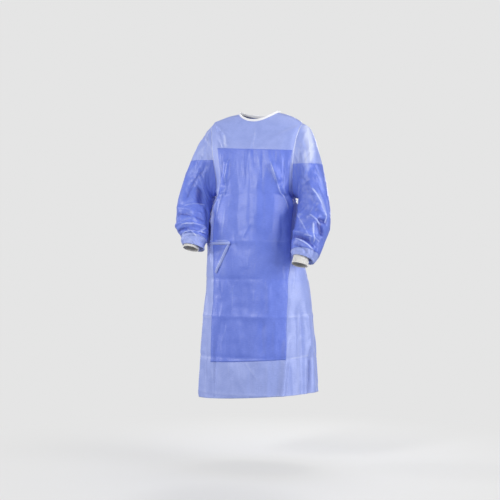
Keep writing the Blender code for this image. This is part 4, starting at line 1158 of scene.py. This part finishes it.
beltPiece = {
    "width": 0.012,
    "place": 13.0,
    "panelTurn": -50.0,  # where the belt comes on to the front reinforcement
    "panelStep": 4.0,
    # lightens the whole belt towards the pale colour: painted highlight
    "tint": 0.25,
    "wall": 0.0006,
    "stand": 0.0015,
    "flapReach": 9.0,  # degrees of the belt that are sewn to the outer flap
    "flapStep": 2.5,  # degrees over which it comes down to the inner one
    "columns": 170,
    "knotHalf": (0.0092, 0.0040, 0.0076),
    "knotSquare": 0.62,
    # the turns of the belt pressed into the knot: depth, slant, shift and width
    "knotWraps": ((0.16, -0.7, 0.0, 0.22), (0.112, 0.9, 0.35, 0.16)),
    "knotGrid": (64, 32),
    # shifts the knot's value so that the grooves where the turns press in get painted shade
    "knotShadeShift": -0.95,
    "knotFlat": 0.030,
    "tailTurn": -37.5,
    "tailZ": -0.668,
    "tailWidth": 0.010,
    "tailPinch": (0.25, 0.2),  # how much narrower it leaves the knot, and down to where
    "tailStand": 0.0042,
    "tailWave": 0.0010,
    "tailRows": 60,
    "tailColumns": 6,
    "flat": (0.012, 0.42),
    "tailFlat": (0.010, 0.115),
}


def beltFront():
    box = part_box("belt_knot")
    knot = (box[0] + box[1]) / 2.0
    share = np.linspace(-1.0, 0.0, 400)
    line = torsoPoint("front", share, np.full_like(share, beltPiece["place"]))
    near = np.argmin(np.hypot(line[:, 0] - knot.x, line[:, 1] - knot.y))
    return knot, float(share[near]) * 90.0


def buildBelt():
    _, frontEnd = beltFront()
    flap = float(flapTurn(np.array([beltPiece["place"]]))[0])
    start = flap - beltPiece["flapReach"] - 180.0

    def bodyLine(turn, place):
        back = 180.0 + turn
        down = smooth((back - flap) / beltPiece["flapStep"])[..., None]
        return backPoint(1.0, -back, place) * (1.0 - down) + roundBody(turn, place) * down

    def placeOf(u, v):
        turn = start + (frontEnd - start) * u
        places = np.full_like(turn, beltPiece["place"])
        middle = bodyLine(turn, places)
        beyond = bodyLine(turn, places - 1.0 + 2.0 * v)
        panel = smooth((turn - beltPiece["panelTurn"]) / beltPiece["panelStep"]) * frontPiece["layerStep"]
        normal = unit(middle * np.array((1.0, 1.0, 0.0)))
        offMiddle = np.where(np.abs(v - 0.5) < 0.01, 0.0, 1.0)[..., None]
        out = unit(beyond - middle) * (beltPiece["width"] / 2.0) * offMiddle
        # painted highlight over the whole belt
        tint = {"tint": np.full_like(u, beltPiece["tint"])}
        point = middle + out + normal * (beltPiece["stand"] + panel)[..., None]
        return point, u * beltPiece["flat"][1], v * beltPiece["width"], tint

    mesh = gridShape("waistBelt", beltPiece["columns"], 2, placeOf)
    belt = addPiece("waistBelt", mesh, baseCloth, "belt", beltPiece["wall"])


buildBelt()


# the belt's loop pulled flat and round itself
def buildKnot():
    knot, _ = beltFront()
    half, power = beltPiece["knotHalf"], beltPiece["knotSquare"]
    heading = unit(np.array((knot.x, knot.y, 0.0)))
    along = np.array((-heading[1], heading[0], 0.0))
    upward = np.array((0.0, 0.0, 1.0))

    def placeOf(u, v):
        rise = (v - 0.5) * math.pi
        wide, deep = (wave * np.cos(rise) ** power for wave in superRound(u * 2.0 * math.pi, power))
        high = superRound(rise, power)[1]
        wrap = 1.0 - sum(depth * np.exp(-(((wide + slant * high + shift) / width) ** 2))
                         for depth, slant, shift, width in beltPiece["knotWraps"])
        sizes = (size[..., None] for size in (wide * half[0], deep * wrap * half[1], high * half[2]))
        point = np.array(knot) + sum(size * axis for size, axis in zip(sizes, (along, heading, upward)))
        flat = beltPiece["knotFlat"]
        # painted shade in the grooves of the knot
        return point, u * flat, v * flat, {"tint": wrap + beltPiece["knotShadeShift"]}

    mesh = gridShape("beltKnot", *beltPiece["knotGrid"], placeOf, closed=True)
    addPiece("beltKnot", mesh, baseCloth, "belt_knot")


buildKnot()


def placeAtHeight(turn, z):
    low = np.full_like(turn, float(gownForm["underRow"]))
    high = np.full_like(turn, float(gownForm["hemRow"]))
    for _ in range(26):
        middle = (low + high) / 2.0
        above = roundBody(turn, middle)[..., 2] > z
        low, high = np.where(above, middle, low), np.where(above, high, middle)
    return low


def buildTail():
    knot, startTurn = beltFront()
    startZ = knot.z - beltPiece["knotHalf"][2] * 0.8
    ends = np.array((startTurn, beltPiece["tailTurn"])), np.array((startZ, beltPiece["tailZ"]))
    top, low = roundBody(ends[0], placeAtHeight(*ends))
    leaning = math.atan2(top[0] - low[0], top[2] - low[2])
    perDegree = np.linalg.norm(low - top) / abs(ends[0][1] - ends[0][0]) * math.sin(leaning)

    def placeOf(u, v):
        pinch, pinchEnd = beltPiece["tailPinch"]
        across = beltPiece["tailWidth"] * (u - 0.5) * ((1.0 - pinch) + pinch * smooth(v / pinchEnd))
        turn = startTurn + (beltPiece["tailTurn"] - startTurn) * v + across * math.cos(leaning) / perDegree
        z = startZ + (beltPiece["tailZ"] - startZ) * v - across * math.sin(leaning)
        lift = beltPiece["tailWave"] * (np.sin(v * 9.0 + 0.6) + 1.2 * np.cos(u * math.pi))
        point = roundBody(turn, placeAtHeight(turn, z), beltPiece["tailStand"] + lift)
        # painted highlight along one edge of the tail and painted shade along the other
        tint = {"tint": 0.7 * np.exp(-(u / 0.2) ** 2) - 0.5 * smooth((u - 0.6) / 0.3)}
        return point, u * beltPiece["tailFlat"][0], v * beltPiece["tailFlat"][1], tint

    mesh = gridShape("beltTail", beltPiece["tailColumns"], beltPiece["tailRows"], placeOf)
    tail = addPiece("beltTail", mesh, baseCloth, "belt_end", beltPiece["wall"])


buildTail()
print("gown: pieces ready")

stageSettings = {
    "floorZ": -1.48,
    "floorSize": 3.2,
    "floorCorners": 96,
    "paper": (0.783, 0.783, 0.783, 1.0),
    "floorPaper": (0.69, 0.69, 0.69, 1.0),
    "ambient": 0.40,  # share of the backdrop's brightness that lights the cloth
    "fadeFrom": 0.5,
    "fadeTo": 1.7,
    "lampTarget": (0.0, 0.0, -0.6),
    "lights": (
        ("key", (-1.3, -4.5, 0.9), 1.1, 104.0),
        ("side", (4.2, -0.9, 0.1), 3.0, 146.0),
        ("far side", (-4.0, -1.0, 0.1), 1.0, 56.0),
        ("top", (0.2, 0.4, 2.6), 1.6, 16.0),
        ("rear", (-0.6, 4.0, 0.3), 1.6, 110.0),
    ),
}


def buildStage():
    made = bmesh.new()
    bmesh.ops.create_circle(made, cap_ends=True, segments=stageSettings["floorCorners"],
                            radius=stageSettings["floorSize"],
                            matrix=Matrix.Translation((0.0, 0.0, stageSettings["floorZ"])))
    mesh = bpy.data.meshes.new("floor")
    made.to_mesh(mesh)
    made.free()
    floor = bpy.data.objects.new("floor", mesh)
    bpy.context.scene.collection.objects.link(floor)
    finish = Finish("pale_paper")
    place = finish.node("ShaderNodeTexCoord", output="Object")
    across = finish.node("ShaderNodeVectorMath", {"operation": "MULTIPLY"}, {0: place, 1: (1.0, 1.0, 0.0)})
    far = finish.node("ShaderNodeVectorMath", {"operation": "LENGTH"}, {0: across}, output=1)
    finish.feed("Base Color", stageSettings["floorPaper"])
    finish.feed("Roughness", 0.9)
    glow = finish.node("ShaderNodeEmission", None, {"Color": stageSettings["paper"], "Strength": 1.0})
    fade = finish.ramp(far, stageSettings["fadeFrom"], stageSettings["fadeTo"])
    paper = Value(finish.tree, finish.shader.outputs[0])
    mixed = finish.node("ShaderNodeMixShader", None, {0: fade, 1: paper, 2: glow})
    finish.tree.links.new(mixed.socket, finish.tree.nodes["Material Output"].inputs[0])
    mesh.materials.append(finish.material)
    floor.visible_diffuse = False
    floor.visible_glossy = False

    world = bpy.data.worlds.new("studio")
    bpy.context.scene.world = world
    world.use_nodes = True
    sky = world.node_tree.nodes["Background"]
    sky.inputs["Color"].default_value = stageSettings["paper"]
    seen = addNode(world.node_tree, "ShaderNodeLightPath", output="Is Camera Ray")
    strength = addNode(world.node_tree, "ShaderNodeMapRange", None,
                       {"Value": seen, "To Min": stageSettings["ambient"]})
    feedSocket(world.node_tree, sky.inputs["Strength"], strength)
    target = Vector(stageSettings["lampTarget"])
    for name, spot, size, power in stageSettings["lights"]:
        lamp = bpy.data.lights.new(name, "AREA")
        lamp.shape = "DISK"
        lamp.size = size
        lamp.energy = power
        light = bpy.data.objects.new(name, lamp)
        light.location = spot
        light.rotation_euler = (target - Vector(spot)).to_track_quat("-Z", "Y").to_euler()
        bpy.context.scene.collection.objects.link(light)


buildStage()

cameraSettings = {
    "place": (1.679, -4.710, -0.573),
    "target": (-0.0314, -0.0114, -0.573),
    "lens": 86.3,
    "sensor": 36.0,
    "reach": 60.0,
}


def buildCamera():
    lens = bpy.data.cameras.new("camera")
    lens.lens = cameraSettings["lens"]
    lens.sensor_width = cameraSettings["sensor"]
    lens.clip_end = cameraSettings["reach"]
    camera = bpy.data.objects.new("camera", lens)
    camera.location = cameraSettings["place"]
    aim = Vector(cameraSettings["target"]) - Vector(cameraSettings["place"])
    camera.rotation_euler = aim.to_track_quat("-Z", "Y").to_euler()
    bpy.context.scene.collection.objects.link(camera)
    bpy.context.scene.camera = camera
    bpy.context.scene.view_settings.view_transform = "Standard"


buildCamera()
print("gown: studio ready")
